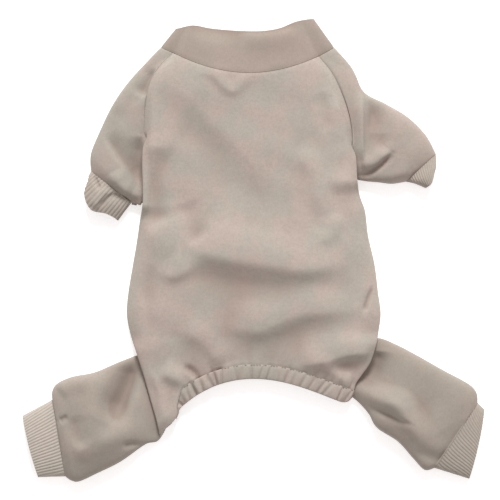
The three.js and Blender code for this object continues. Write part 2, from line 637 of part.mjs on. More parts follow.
// Cuff: a ribbed tube from the limb's last section.
function cuffGeometry({ limb, end }, rows, ribs) {
  const bearing = degToRad(limb.bearing);
  const ahead = new THREE.Vector2(Math.cos(bearing), Math.sin(bearing)).multiplyScalar(CUFF_LENGTH);
  const outward = new THREE.Vector2(-ahead.y, ahead.x).multiplyScalar(limb.out);
  const place = (from, along, out) => from.clone().addScaledVector(ahead, along).addScaledVector(outward, out);
  const sections = rows.map((row) => ({
    front: place(end.front, row.frontAlong, row.frontOut),
    back: place(end.back, row.backAlong, row.backOut),
    height: row.height * CUFF_LOFT,
  }));
  const columns = [...Array(2 * ribs).keys()].map((k) => k / ribs);
  const grid = [end, ...sections].map((section) => ringOf(section, columns));
  const normals = normalsOf(grid, true);
  const axis = sectionAxis(end, limb.bearing);
  normals[0] = inPlane(normals[0], axis);
  grid[0] = moved(grid[0], axis, SEAM_GAP / 2);
  const outer = grid.map((row, i) =>
    row.map((p, j) => {
      const rib = row === grid[0] || j % 2 === 0 ? 0 : -RIB_DEPTH;
      const q = p.clone().addScaledVector(normals[i][j], rib);
      q.z = Math.max(0, q.z);
      return q;
    }),
  );
  return wall(outer, inset(grid, normals, CUFF_WALL + RIB_DEPTH), true);
}

// Casing of the tail elastic: a gathered band along the hem.
function casingGeometry() {
  const rings = [...Array(HEM_STEPS + 1).keys()].map((k) => {
    const u = lerp(CASING_START, 1, k / HEM_STEPS);
    const stitch = hemStitch(u);
    const edge = hemEdge(u);
    const level = topPoint(BODY.length - 1, u).z - HEM_THICKNESS / 2;
    return HEM_PROFILE.map(({ across, side }) => {
      const phase = 2 * Math.PI * HEM_GATHERS * (k / HEM_STEPS);
      const pucker = HEM_PUCKER * Math.sin(phase) * across;
      const plan = stitch.clone().lerp(edge, across + 0.03 * (1 - across));
      return v3(plan.x, plan.y, level + pucker + (side * HEM_THICKNESS) / 2);
    });
  });
  const columns = HEM_PROFILE.length;
  const at = (i, j) => i * columns + (j % columns);
  const index = [];
  for (let i = 0; i < HEM_STEPS; i++)
    for (let j = 0; j < columns; j++)
      index.push(at(i, j), at(i, j + 1), at(i + 1, j + 1), at(i, j), at(i + 1, j + 1), at(i + 1, j));
  for (let j = 1; j < columns - 1; j++) {
    index.push(at(0, 0), at(0, j + 1), at(0, j));
    index.push(at(HEM_STEPS, 0), at(HEM_STEPS, j), at(HEM_STEPS, j + 1));
  }
  return solid(rings.flat(), index);
}

const garment = new THREE.Group();
function add(name, geometry, colour) {
  const mesh = new THREE.Mesh(geometry, new THREE.MeshStandardMaterial({ color: colour, roughness: 0.95 }));
  mesh.name = name;
  garment.add(mesh);
}
const KNIT = 0xb9ada2;
const COLLAR_KNIT = 0xaf9f95;
const RIB_KNIT = 0xb1a89d;
add("back_panel", panelGeometry(back, ["first", "last", "left", "right"]), KNIT);
add("belly_panel", panelGeometry(belly, ["first", "left", "right"]), KNIT);
add("collar", collarGeometry(), COLLAR_KNIT);
add("sleeve_left", tubeGeometry(sleeveLeft, CLOTH, true), KNIT);
add("sleeve_right", tubeGeometry(sleeveRight, CLOTH, true), KNIT);
add("sleeve_cuff_left", cuffGeometry(sleeveLeft, LEFT_SLEEVE_CUFF, SLEEVE_CUFF_RIBS), RIB_KNIT);
add("sleeve_cuff_right", cuffGeometry(sleeveRight, RIGHT_SLEEVE_CUFF, SLEEVE_CUFF_RIBS), RIB_KNIT);
add("leg_left", tubeGeometry(legLeft, CLOTH, false), KNIT);
add("leg_right", tubeGeometry(legRight, CLOTH, false), KNIT);
add("leg_cuff_left", cuffGeometry(legLeft, LEFT_LEG_CUFF, LEG_CUFF_RIBS), RIB_KNIT);
add("leg_cuff_right", cuffGeometry(legRight, RIGHT_LEG_CUFF, LEG_CUFF_RIBS), RIB_KNIT);
add("tail_hem_casing", casingGeometry(), KNIT);

// The origin is the middle of the footprint, on the surface that the garment lies on.
const box = new THREE.Box3().setFromObject(garment);
const middle = box.getCenter(v3(0, 0, 0));
for (const mesh of garment.children) mesh.geometry.translate(-middle.x, -middle.y, -box.min.z);

export default garment;
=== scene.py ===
import bpy
import numpy as np
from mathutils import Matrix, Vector


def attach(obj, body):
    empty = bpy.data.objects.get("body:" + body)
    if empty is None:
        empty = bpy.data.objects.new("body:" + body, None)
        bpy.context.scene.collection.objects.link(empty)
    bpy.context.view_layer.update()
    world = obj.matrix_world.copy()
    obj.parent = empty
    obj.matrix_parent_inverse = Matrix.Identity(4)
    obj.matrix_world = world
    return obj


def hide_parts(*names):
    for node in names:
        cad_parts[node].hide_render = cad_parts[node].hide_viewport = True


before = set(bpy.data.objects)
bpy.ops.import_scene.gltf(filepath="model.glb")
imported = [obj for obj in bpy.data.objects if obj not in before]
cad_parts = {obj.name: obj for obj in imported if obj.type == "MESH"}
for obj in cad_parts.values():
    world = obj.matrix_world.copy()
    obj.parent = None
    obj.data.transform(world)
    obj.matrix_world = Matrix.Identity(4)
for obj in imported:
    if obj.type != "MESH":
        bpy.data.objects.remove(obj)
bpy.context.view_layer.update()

# Lengths are in millimetres until a mesh is made. The garment's own plan has X from the spine and Y from
# the tail hem; PLAN_ORIGIN is where the row frame's origin lies in it.
PLAN_ORIGIN = np.array([1.3106, 106.1216])

# Body
BACK_LENGTH = 250.0
HALF_CHEST = 89.0
BODY_HEIGHT = 24.0
CLOTH = 1.6
SEAM_GAP = 0.1
SIDE_FOLD = 5.0
UNDER_WRAP = 22.0
HIP_FOLD = 2.2
HIP_TURN = 8.0
NECK_FOLD = 4.4
COLLAR_HEIGHT = 35.0
COLLAR_WALL = 2.8
COLLAR_LOFT = 12.0
HEM_WIDTH = 11.5
HEM_THICKNESS = 3.0
CUFF_WALL = 2.0
RIB_DEPTH = 0.42
CUFF_RIBS = {"sleeve": 34, "leg": 52}
CUFF_LOFT = 11.0
CUFF_LENGTH = 26.0
SLEEVE_LENGTH = 118.0
SLEEVE_HEIGHT = 17.0
LEG_LENGTH = 95.0
LEG_WIDTH = 65.0
LEG_HEIGHT = 20.0
LEG_ROOT_HEIGHT = 0.43 * LEG_HEIGHT
CROWN_POWER = 5.0
SEAM_POWER = 3.6
RUN_ON = 1.5
CROWN_ROWS = 9.0
HEM_HEIGHT = 0.62
HEM_SLOPE = 72.0

# Columns: left x, left y, right x, right y, neckline's share, hem's share, height, edge. x in half chests,
# y in back lengths, heights in body heights. Rows run from the neck seam to the tail hem.
BODY = np.array([
    [-0.72, 1.063, 0.61, 1.052, 1.0, 0.0, 0.78, 0.38],
    [-0.85, 1.016, 0.72, 1.003, 0.7, 0.0, 0.775, 0.44],
    [-0.93, 0.961, 0.79, 0.955, 0.45, 0.0, 0.771, 0.48],
    [-0.965, 0.903, 0.855, 0.896, 0.25, 0.0, 0.766, 0.5],
    [-0.98, 0.84, 0.9, 0.84, 0.1, 0.0, 0.766, 0.5],
    [-0.99, 0.769, 0.935, 0.774, 0.0, 0.0, 0.771, 0.48],
    [-0.995, 0.695, 0.948, 0.711, 0.0, 0.0, 0.785, 0.46],
    [-0.99, 0.627, 0.957, 0.653, 0.0, 0.0, 0.804, 0.42],
    [-0.993, 0.571, 0.982, 0.601, 0.0, 0.0, 0.823, 0.36],
    [-1.02, 0.519, 1.032, 0.549, 0.0, 0.0, 0.846, 0.3],
    [-1.049, 0.448, 1.059, 0.471, 0.0, 0.0, 0.865, 0.3],
    [-1.09, 0.364, 1.118, 0.377, 0.0, 0.0, 0.846, 0.3],
    [-1.128, 0.279, 1.15, 0.286, 0.0, 0.0, 0.846, 0.3],
    [-1.138, 0.214, 1.173, 0.221, 0.0, 0.0, 0.874, 0.3],
    [-1.104, 0.149, 1.155, 0.166, 0.0, 0.0, 0.893, 0.3],
    [-1.045, 0.086, 1.127, 0.114, 0.0, 0.25, 0.893, 0.3],
    [-0.982, 0.016, 1.073, 0.058, 0.0, 0.45, 0.893, 0.3],
    [-0.923, -0.058, 0.991, 0.016, 0.0, 0.63, 0.893, 0.3],
    [-0.864, -0.133, 0.946, -0.008, 0.0, 0.82, 0.893, 0.3],
    [-0.84, -0.18, 0.93, -0.03, 0.0, 1.0, 0.893, 0.3],
])
ARMPIT = {"left": 8, "right": 7}
ARM_FOLD = {"left": 4.4, "right": 4.9}
ARM_HEIGHT = 10.5
ARM_FOLD_HEIGHT = 5.0
BELLY_END = 13
HIP_START = 14
HEM_SECTION = len(BODY) - 1
CORNER_DROOP = 0.6
NECK_SAG = 0.062
BELLY_NECK_SAG = 0.1
HEM_CORNERS = np.array([[-0.84, -0.18], [0.882, -0.075]])
HEM_RISE = 0.14
HEM_LEAN = (0.8, 1.2)
HEM_BULGE = np.array([2.2, -1.8])
BULGE_END = 0.118
HEM_START = (0.07, 0.175)
CASING_START = 0.082
BELLY_INSET = np.array([0.3, 0.5, 0.62, 0.7, 0.75, 0.78, 0.82, 0.9, 1.0, 1.0])
COLLAR_CORNERS = {"left": (-0.824, 1.083), "right": (0.745, 1.083)}
COLLAR_ENDS = {"left": (-0.693, 1.139), "right": (0.563, 1.139)}
COLLAR_EDGE = np.array([0.02, 0.09, 0.02, -0.02, -0.045, -0.045, 0.02, 0.18, 0.25])

# Limbs: bearing in degrees from +X, the side that faces outwards, and sections with the columns front
# along, front out, back along, back out, height.
SLEEVES = {
    "left": (240.7, -1, np.array([
        [0.295, 0.074, 0.985, -0.433, 0.8],
        [0.505, 0.096, 1.02, -0.405, 0.9],
        [0.72, 0.084, 1.023, -0.379, 0.9],
        [0.88, 0.062, 1.027, -0.361, 0.85],
        [0.98, 0.003, 1.035, -0.345, 0.66],
    ])),
    "right": (-46.0, 1, np.array([
        [0.19, -0.01, 0.746, -0.541, 0.75],
        [0.365, -0.065, 0.78, -0.511, 0.85],
        [0.53, -0.015, 0.83, -0.473, 0.85],
        [0.7, 0.03, 0.885, -0.425, 0.95],
        [0.875, 0.033, 0.955, -0.366, 0.9],
        [1.015, -0.005, 1.01, -0.288, 0.66],
    ])),
}
LEG_ROOTS = {"left": (-0.836, -0.026), "right": (0.909, 0.032)}
LEGS = {
    "left": (205.5, -1, np.array([
        [-0.05, 0.46, 0.06, -0.43, 0.43],
        [0.045, 0.5, 0.2, -0.57, 0.43],
        [0.22, 0.525, 0.32, -0.545, 0.75],
        [0.44, 0.54, 0.57, -0.605, 1.0],
        [0.63, 0.61, 0.8, -0.61, 1.0],
        [0.77, 0.615, 0.96, -0.605, 0.95],
        [0.84, 0.55, 1.02, -0.55, 0.83],
        [0.865, 0.459, 1.05, -0.475, 0.7],
    ])),
    "right": (-31.7, 1, np.array([
        [-0.02, 0.38, 0.02, -0.28, 0.43],
        [0.045, 0.525, 0.16, -0.28, 0.43],
        [0.21, 0.575, 0.31, -0.34, 0.75],
        [0.42, 0.597, 0.435, -0.435, 1.0],
        [0.66, 0.61, 0.65, -0.445, 1.0],
        [0.9, 0.63, 0.84, -0.525, 0.95],
        [1.0, 0.59, 0.97, -0.57, 0.83],
        [1.055, 0.49, 1.035, -0.485, 0.7],
    ])),
}
CUFFS = {
    "sleeve_left": np.array([[0.1, 0.0, 0.35, 0.05, 1.15], [0.19, 0.0, 0.69, 0.09, 1.0]]),
    "sleeve_right": np.array([[0.28, -0.25, 0.24, 0.16, 1.3], [0.42, -0.48, 0.58, 0.31, 1.4]]),
    "leg_left": np.array([[1.07, -0.05, 0.78, 0.34, 1.0]]),
    "leg_right": np.array([[0.3, -0.07, 1.1, 0.28, 1.0]]),
}

# How far a cuff's end is carried out in plan, in mm, at five even places from its front to its back, and
# how far its ribs wind round it on the way, in half turns.
CUFF_SWEEP = {
    "sleeve_left": np.array([[0, 0], [-9.3, -5.2], [-9.7, -9.1], [-3.7, -3.3], [0, 0]]),
    "sleeve_right": np.array([[0, 0], [1.0, 0], [1.2, -0.6], [0.8, -1.0], [0, 0]]),
    "leg_left": np.array([[0, 0], [-0.6, 0], [-0.9, 0], [-0.6, 0], [0, 0]]),
    "leg_right": np.array([[0, 0], [0.8, 0], [1.0, -0.3], [0.6, -0.6], [0, 0]]),
}
CUFF_WIND = {"sleeve_left": 0.0, "sleeve_right": 0.2, "leg_left": 0.06, "leg_right": 0.16}

# Folds of the laid cloth. Each is a crest, or a valley where its height is less than 0, on a smooth line
# through points of the picture's own grid, whose step is GRID_STEP with x to the right and y down. After
# the points come its height in mm and how far it runs out to the left and to the right of the way it goes,
# in grid steps.
FOLD_DEPTH = 1.2
GRID_STEP = 0.8117
GRID_MIDDLE = np.array([253.5, 250.0])
BACK_FOLDS = [
    # the wide step across the waist, and the tuck at its left end
    (((190, 243), (203, 250), (225, 256), (250, 260), (280, 265), (305, 268), (328, 263), (346, 252)),
     6.6, 36, 14),
    (((180, 276), (225, 286), (280, 290), (336, 282)), -1.0, 12, 40),
    (((158, 266), (172, 275), (187, 269), (198, 256)), 3.0, 22, 7),
    (((142, 241), (158, 232), (178, 224)), 1.8, 9, 30),
    (((143, 224), (158, 216), (172, 212)), -2.0, 46, 9),
    (((155, 146), (154, 184), (155, 224)), -2.9, 16, 8),
    (((140, 156), (155, 152), (170, 160)), 3.0, 40, 40),
    (((184, 202), (192, 222), (201, 244)), -1.8, 12, 13),
    (((152, 262), (149, 300), (154, 342)), -1.5, 9, 9),
    # the hip's steps
    (((226, 322), (245, 327), (263, 328), (284, 318), (300, 313), (330, 310), (358, 306)), 4.6, 30, 12),
    (((363, 312), (367, 300), (373, 286)), -2.4, 2.5, 3),
    (((298, 364), (320, 361), (345, 354), (374, 350)), 5.6, 22, 8),
    # between waist and hem on the left
    (((182, 328), (200, 338), (214, 352), (222, 366)), 2.8, 16, 9),
    (((146, 372), (160, 392), (160, 428)), 1.6, 8, 8),
    # the slack folds of the chest, below the neck seam
    (((150, 42), (200, 55), (250, 59), (300, 55), (340, 42)), 2.4, 30, 46),
    (((148, 76), (178, 88), (200, 105), (217, 124), (242, 148), (264, 174), (292, 204)), 3.8, 60, 16),
    (((196, 73), (213, 76), (224, 87), (234, 92), (243, 83), (252, 78)), 1.5, 9, 5),
    (((293, 156), (306, 163), (314, 178), (318, 198), (325, 218)), 2.4, 14, 8),
    (((328, 189), (345, 185), (364, 196)), 2.4, 12, 15),
    (((318, 243), (331, 233), (341, 214)), 1.5, 9, 7),
    (((322, 364), (336, 374), (352, 384)), 2.2, 8, 6),
    (((332, 96), (342, 118), (351, 140), (354, 160)), 2.0, 2.6, 15),
    (((318, 92), (326, 112), (330, 134)), -1.0, 7, 7),
]
LIMB_FOLDS = {"sleeve_left": [
    (((154, 68), (147, 84), (140, 98)), -4.5, 4, 10),
    (((106, 108), (124, 88), (144, 66)), 4.0, 9, 13),
    (((106, 134), (118, 152), (130, 168), (141, 183)), -3.6, 12, 4.5),
    (((141, 136), (140, 155), (140, 174), (141, 196)), -4.6, 3.5, 11),
    (((112, 172), (122, 186), (134, 192)), 2.6, 10, 7),
    (((118, 198), (130, 200), (143, 204)), -2.5, 4, 5),
], "sleeve_right": [
    (((362, 90), (362, 118), (362, 144), (363, 162)), 3.4, 2.0, 10),
    (((369, 98), (372, 114), (371, 134)), -5.0, 20, 5),
    (((360, 166), (374, 163), (388, 149)), 3.0, 8, 5),
    (((356, 177), (371, 172), (383, 163), (392, 154)), -3.0, 2.2, 3.2),
    (((372, 182), (392, 178), (412, 172)), 1.6, 8, 7),
    (((372, 96), (398, 106), (424, 130)), 4.0, 8, 44),
    (((364, 140), (380, 138), (396, 138)), -3.0, 26, 16),
], "leg_left": [
    (((100, 367), (122, 360), (140, 356)), 4.0, 8, 15),
    (((134, 354), (130, 372), (126, 388), (119, 405), (110, 424)), -9.5, 9, 17),
    (((106, 366), (99, 392), (95, 420), (90, 446)), 2.8, 14, 14),
    (((56, 388), (70, 380), (92, 376)), 5.0, 5, 11),
    (((60, 420), (64, 418), (69, 415)), -1.5, 2.6, 3.4),
    (((74, 414), (77, 432), (86, 448)), -1.6, 11, 7),
    (((72, 452), (100, 444), (148, 424)), 2.8, 12, 12),
    (((124, 445), (132, 443), (146, 445)), -2.6, 3.0, 4),
], "leg_right": [
    (((343, 386), (373, 397), (396, 406), (408, 424), (424, 446)), 4.6, 9, 8),
    (((350, 368), (380, 378), (408, 388), (424, 406), (440, 432)), -4.0, 30, 10),
    (((366, 405), (384, 413), (398, 419), (413, 425)), -1.8, 2.2, 4),
    (((378, 350), (376, 362), (367, 378)), -4.0, 12, 5),
    (((414, 448), (434, 458), (452, 456)), -2.4, 8, 6),
    (((470, 410), (469, 435), (468, 465)), 1.4, 4, 6),
]}
COLLAR_FOLDS = [
    (((236, 38), (268, 38), (302, 32)), 3.0, 8, 13),
    (((190, 38), (212, 44), (236, 48)), 1.0, 8, 12),
]
PANEL_PUCKERS = [
    (((160, 370), (172, 376), (188, 383)), 3.2, 12, 7),
    (((184, 364), (197, 375), (204, 388)), -2.4, 2.6, 3.2),
    (((218, 366), (220, 375), (221, 384)), -2.2, 2.4, 3.0),
]
CUFF_FOLDS = {"sleeve_left": [
    (((95, 176), (98, 183), (101, 190)), -1.4, 1.6, 2.5),
    (((108, 187), (101, 198), (93, 209)), 2.0, 5, 8),
    (((132, 198), (114, 195), (105, 201), (98, 208)), -1.4, 4, 2),
]}

# Seeds of what is drawn by chance
SEEDS = {"back": 3, "hem": 4, "sleeve_left": 5, "sleeve_right": 6, "leg_left": 7, "leg_right": 8, "collar": 9}

# Slack of the laid cloth in mm, its count of waves and their lengths, and how a fold's line ends: the share
# of its length over which it eases out, and the part of its height that is left at its end.
BACK_SLACK = 0.45
LIMB_SLACK = 0.5
COLLAR_SLACK = 0.35
SLACK_WAVES = 8
WAVE_LENGTHS = (26, 60)
END_SHARES = (0.28, 0.5)
END_LEVEL = 0.2
LINE_STEPS = 5

# Seams: how deep a surface is drawn in at one and how far from it, both in mm, and a distance that no seam
# reaches
SEAM_DIP = 0.3
SEAM_REACH = 1.5
NO_SEAM = 1e3
EDGE_EASE = 0.08
DROOP_ROWS = 0.9

# A limb's flattened ring: the height of its widest place as a share of its own, and the forms below and
# above it
RING_WAIST = 0.38
RING_UNDER = 0.6
RING_POWER = 0.75
RING_POINTS = 97
LIMB_ROUNDING = 0.45
LIMB_ENDS = (0.06, 0.04)
NECK_SHARE = 0.06
ARMPIT_SHARE = 0.93

# Collar and cuffs
COLLAR_REST = 0.4
COLLAR_BELLY = 1.1
COLLAR_EASES = (0.2, 0.15)
COLLAR_POWER = 3
CUFF_ROUNDING = 0.6
CUFF_EASES = (0.1, 0.05)
RIB_POWER = 4
RIB_COLUMNS = 8

# Puckers of the hem: the first one's place and what is left free at the end, then ranges for the steps
# between them, their depths, half widths, skews and reaches into the panel, then the main ones' places
# along the edge and what each is like
FIRST_PUCKER = 4.0
PUCKER_MARGIN = 2
PUCKER_STEPS = (4.2, 9.5)
PUCKER_RANGES = ((0.35, 1.0), (1.1, 2.4), (-0.3, 0.3), (4, 11))
MAIN_PUCKERS = (0.125, 0.2, 0.305)
MAIN_PUCKER = [1.3, 1.3, 0.0, 5.0]
PANEL_DEPTH = 1.7
PANEL_SPREAD = 14
PANEL_FADE = (22, 40)

# Casing and stitches
CASING_WALL = 0.9
CASING_DROOP = 1.6
CASING_END = 0.05
CASING_LAP = 0.012
CASING_DIVE = 2.4
CASING_SEAT = 0.3
CASING_POWER = 0.55
CASING_TAPER = 0.55
CASING_OVERLAP = 0.04
CASING_SWELL = (1.15, 0.4)
CASING_LIMITS = (0.3, 1.3)
PUCKER_DROP = (0.5, 0.9)
STITCHES = 62
STITCH_SIZE = (1.5, 0.55)
STITCH_END = 0.985
STITCH_INSET = 0.07
STITCH_RINGS = 7
STITCH_SIDES = 8
STITCH_STEP = 0.002

# Grids: rows and columns of points
BACK_ROWS = 230
TOP_STEPS = 110
FOLD_STEPS = 26
BELLY_STEPS = 60
SLEEVE_ROWS = 90
LEG_ROWS = 110
LEG_COLUMNS = 200
COLLAR_ROWS = 50
SHOULDER_POINTS = 9
CUFF_ROWS = 44
CASING_RINGS = 640
CASING_COLUMNS = 44
HEM_STEPS = 400
HEM_STEP = 0.01
STITCH_STEPS = 60
HOLLOW_ROUNDS = 150
TOP_BEGINS = (3.9, 4.15)
EDGE = {"left": 0, "right": -1}

# Knits: a warm and a cool colour, the colour between the fibres and how far the pile stands in metres
KNITS = {
    "body_knit": ((0.436, 0.363, 0.321), (0.396, 0.363, 0.315), (0.24, 0.205, 0.175), 0.00009),
    "sleeve_knit": ((0.398, 0.332, 0.292), (0.362, 0.332, 0.287), (0.24, 0.205, 0.175), 0.00009),
    "leg_knit": ((0.342, 0.292, 0.252), (0.322, 0.289, 0.249), (0.22, 0.19, 0.16), 0.00009),
    "collar_knit": ((0.330, 0.268, 0.232), (0.309, 0.262, 0.224), (0.22, 0.18, 0.15), 0.00009),
    # The left leg cuff's knit is the other cuffs' rib knit painted lighter, as painted light where the lamp
    # falls strongly on that cuff
    "lit_rib_knit_painted": ((0.465, 0.416, 0.368), (0.445, 0.410, 0.358), (0.3, 0.26, 0.22), 0.00007),
    "seam_thread": ((0.330, 0.262, 0.225), (0.315, 0.258, 0.220), (0.22, 0.18, 0.15), 0.00007),
    "rib_knit_cloth": ((0.390, 0.340, 0.296), (0.370, 0.334, 0.290), (0.24, 0.205, 0.175), 0.00007),
}

# A knit's patterns: lumps a metre, detail, roughness, where the pattern starts and is full, and the weight
# of what it adds: blotches from warm to cool, then wear, mottle and flecks that let the colour between the
# fibres through
BLOTCH = (38, 3, 0.5, 0.38, 0.62)
LAYERS = ((130, 4, 0.65, 0.3, 0.75, 0.14), (520, 3, 0.7, 0.35, 0.7, 0.2), (1500, 2, 0.5, 0.58, 0.75, 0.35))
# Painted shade in the folds' hollows: the hollow depths in mm over which it eases in, its weight, and the
# darker, redder tint of the warm colour that it mixes towards
PAINTED_SHADE_RANGE = (-0.4, 2.8)
PAINTED_SHADE_WEIGHT = 0.5
PAINTED_SHADE_TINT = (0.66, 0.56, 0.54)
ROUGHNESS = 0.95
SPECULAR = 0.15
SHEEN = (0.12, 0.6, (0.9, 0.86, 0.82, 1))
PILE = (1100, 3, 0.6, 0.6)
LUMPS = (260, 3, 0.55, 0.5, 0.00025)

# Each piece's knit, the width and length in metres and the area in square metres that it was cut to before
# the garment was sewn and laid, width round the dog or limb. All are laid but the casing, and some rest on
# others.
CUTS = {
    "back": ("body_knit", (0.235, 0.315), 0.0569),
    "belly": ("body_knit", (0.165, 0.215), 0.0279),
    "collar": ("collar_knit", (0.270, 0.036), 0.0094),
    "casing": ("body_knit", (0.200, 0.025), 0.0048),
    "sleeve_left": ("sleeve_knit", (0.160, 0.118), 0.0108),
    "sleeve_right": ("sleeve_knit", (0.170, 0.118), 0.0120),
    "leg_left": ("leg_knit", (0.145, 0.108), 0.0150),
    "leg_right": ("leg_knit", (0.145, 0.108), 0.0148),
    "sleeve_cuff_left": ("rib_knit_cloth", (0.078, 0.027), 0.0021),
    "sleeve_cuff_right": ("rib_knit_cloth", (0.078, 0.015), 0.0011),
    # The left leg cuff takes the rib knit painted lighter, as painted light
    "leg_cuff_left": ("lit_rib_knit_painted", (0.114, 0.030), 0.0034),
    "leg_cuff_right": ("rib_knit_cloth", (0.114, 0.026), 0.0028),
}

# Floor, light and camera, in metres and watts
FLOOR_HALF = 3
FLOOR_LEVEL = -1e-4
FLOOR_COLOUR = (0.9, 0.9, 0.9, 1)
FLOOR_ROUGHNESS = 0.9
FLOOR_GLOW = 0.5
SKY_COLOUR = (1.0, 0.952, 0.945, 1)
SKY_STRENGTH = 0.6
WINDOW_PLACE = (0.6, 7.8, 5.6)
WINDOW_SIZE = 3.0
WINDOW_POWER = 1040
LENS = 266.1
SENSOR_WIDTH = 36
CLIP_END = 20
CAMERA_PLACE = (-0.00284, 0, 3)


def lerp(a, b, w):
    """The straight blend from a to b by the weight w."""
    return a + (b - a) * w


def smooth(x, low, high):
    """A weight that eases from 0 at low to 1 at high: three x squared less two x cubed."""
    x = np.clip((x - low) / (high - low), 0, 1)
    return x * x * (3 - 2 * x)


def unit(ways):
    """Vectors brought to length 1."""
    return ways / np.maximum(np.linalg.norm(ways, axis=-1, keepdims=True), 1e-9)


def length_along(points):
    """How far along a line each of its points lies."""
    return np.concatenate([[0], np.cumsum(np.linalg.norm(np.diff(points, axis=0), axis=1))])


def between(rows, t):
    """Rows of a table at the fractional rows t, on a Catmull-Rom curve through all of them."""
    t = np.asarray(t, float)
    i = np.clip(np.floor(t).astype(int), 0, len(rows) - 2)
    f = (t - i).reshape(t.shape + (1,) * (rows.ndim - 1))
    a, b, c, d = (rows[np.clip(i + k, 0, len(rows) - 1)] for k in (-1, 0, 1, 2))
    return b + 0.5 * f * (c - a + f * (2 * a - 5 * b + 4 * c - d + f * (3 * (b - c) + d - a)))


def on_body(x, y):
    """A point of the plan in mm from half chests and back lengths."""
    return np.stack([np.asarray(x) * HALF_CHEST, np.asarray(y) * BACK_LENGTH], -1)


def from_grid(x, y):
    """A point of the plan in mm from the picture's grid."""
    row = (np.stack([x, y], -1) - GRID_MIDDLE) * GRID_STEP * [1, -1]
    return row + PLAN_ORIGIN


def nearest_on(line, plan):
    """Each point's distance from a line in plan, how far it lies to the left of it, and its place along it
    counted in the line's points."""
    near = np.full(plan.shape[:-1], np.inf)
    aside, place = np.zeros(near.shape), np.zeros(near.shape)
    for k in range(len(line) - 1):
        way = line[k + 1] - line[k]
        off = plan - line[k]
        s = np.clip(off @ way / (way @ way), 0, 1)
        gap = off - s[..., None] * way
        distance = np.hypot(gap[..., 0], gap[..., 1])
        closer = distance < near
        near = np.where(closer, distance, near)
        left = (way[0] * off[..., 1] - way[1] * off[..., 0]) / np.linalg.norm(way)
        aside = np.where(closer, left, aside)
        place = np.where(closer, k + s, place)
    return near, aside, place


def lift_of(plan, table):
    """How high a table's folds lift the cloth over points in plan.

    A fold's lift is its height times e to the minus (distance / reach) squared, with the reach of the side
    that the point is on, blended by direction round its ends, and it eases out over its last stretch, as
    long as its reach.
    """
    lift = np.zeros(plan.shape[:-1])
    for points, height, left, right in table:
        keys = from_grid(*np.array(points, float).T)
        line = between(keys, np.linspace(0, len(keys) - 1, LINE_STEPS * (len(keys) - 1) + 1))
        nearest, side, place = nearest_on(line, plan)
        share = place / (len(line) - 1)
        leftness = smooth(side / np.maximum(nearest, 1e-6), -1, 1)
        reach = GRID_STEP * lerp(right, left, leftness)
        span = np.linalg.norm(np.diff(line, axis=0), axis=1).sum() / GRID_STEP
        stretch = np.clip(max(left, right) / span, *END_SHARES)
        ease = lerp(END_LEVEL, 1, smooth(share, 0, stretch) * smooth(1 - share, 0, stretch))
        lift += FOLD_DEPTH * height * ease * np.exp(-((nearest / reach) ** 2))
    return lift


def slack(plan, seed, height):
    """The soft unevenness of laid cloth: a sum of sines of drawn directions and wavelengths."""
    rng = np.random.default_rng(seed)
    total = np.zeros(plan.shape[:-1])
    for _ in range(SLACK_WAVES):
        angle, phase = rng.uniform(0, 2 * np.pi, 2)
        wave = rng.uniform(*WAVE_LENGTHS)
        total += np.sin(2 * np.pi * (plan @ [np.cos(angle), np.sin(angle)]) / wave + phase)
    return height * total / (SLACK_WAVES / 2)


def hem_edge(u):
    """The tail hem's edge: the line between its corners, lifted by u to the a times (1 - u) to the b, with
    a small bulge, the square of a sine, before its casing."""
    a, b = HEM_LEAN
    corners = on_body(HEM_CORNERS[:, 0], HEM_CORNERS[:, 1])
    edge = lerp(corners[0], corners[1], u[..., None])
    peak = (a / (a + b)) ** a * (b / (a + b)) ** b
    edge[..., 1] += HEM_RISE * BACK_LENGTH * u**a * (1 - u) ** b / peak
    return edge + np.sin(np.pi * np.clip(u / BULGE_END, 0, 1))[..., None] ** 2 * HEM_BULGE


def hem_stitch(u):
    """The casing's stitch line: the hem's edge moved inwards by the casing's width once the casing has
    begun."""
    along = hem_edge(np.minimum(1, u + HEM_STEP)) - hem_edge(np.maximum(0, u - HEM_STEP))
    along = unit(along)
    inward = np.stack([-along[..., 1], along[..., 0]], -1)
    return hem_edge(u) + inward * (HEM_WIDTH * smooth(u, *HEM_START))[..., None]


def hem_length(u):
    """The distance along the tail hem's edge from its left corner to the places u."""
    places = np.linspace(0, 1, HEM_STEPS + 1)
    return np.interp(u, places, length_along(hem_edge(places)))


def from_hem(plan):
    """Each point's distance from the casing's stitch line, and the length along the hem of the nearest
    stitch."""
    places = np.linspace(HEM_START[1], 1, STITCH_STEPS + 1)
    near, _, place = nearest_on(hem_stitch(places), plan)
    return near, np.interp(place, np.arange(len(places)), hem_length(places))


def fold_sizes(t, is_left):
    """The side fold's weight, the level under it, its height and the height of the panel's edge at section
    t."""
    start = np.where(is_left, ARM_FOLD["left"], ARM_FOLD["right"])
    armpit = np.where(is_left, ARMPIT["left"], ARMPIT["right"])
    weight = smooth(t, start, start + 1)
    on_sleeve = 1 - smooth(t, armpit, armpit + 1)
    on_leg = smooth(t, HIP_START, HIP_START + 1)
    risen = on_sleeve + on_leg
    corner = 1 - CORNER_DROOP * is_left * smooth(t, HEM_SECTION - DROOP_ROWS, HEM_SECTION)
    under = on_leg * (LEG_ROOT_HEIGHT + SEAM_GAP) * corner + on_sleeve * ARM_HEIGHT
    height = lerp(lerp(SIDE_FOLD, ARM_FOLD_HEIGHT, on_sleeve), HIP_FOLD, on_leg)
    edge = lerp(between(BODY, t)[..., 7] * BODY_HEIGHT, under + height, weight)
    return weight, risen, under, height, edge


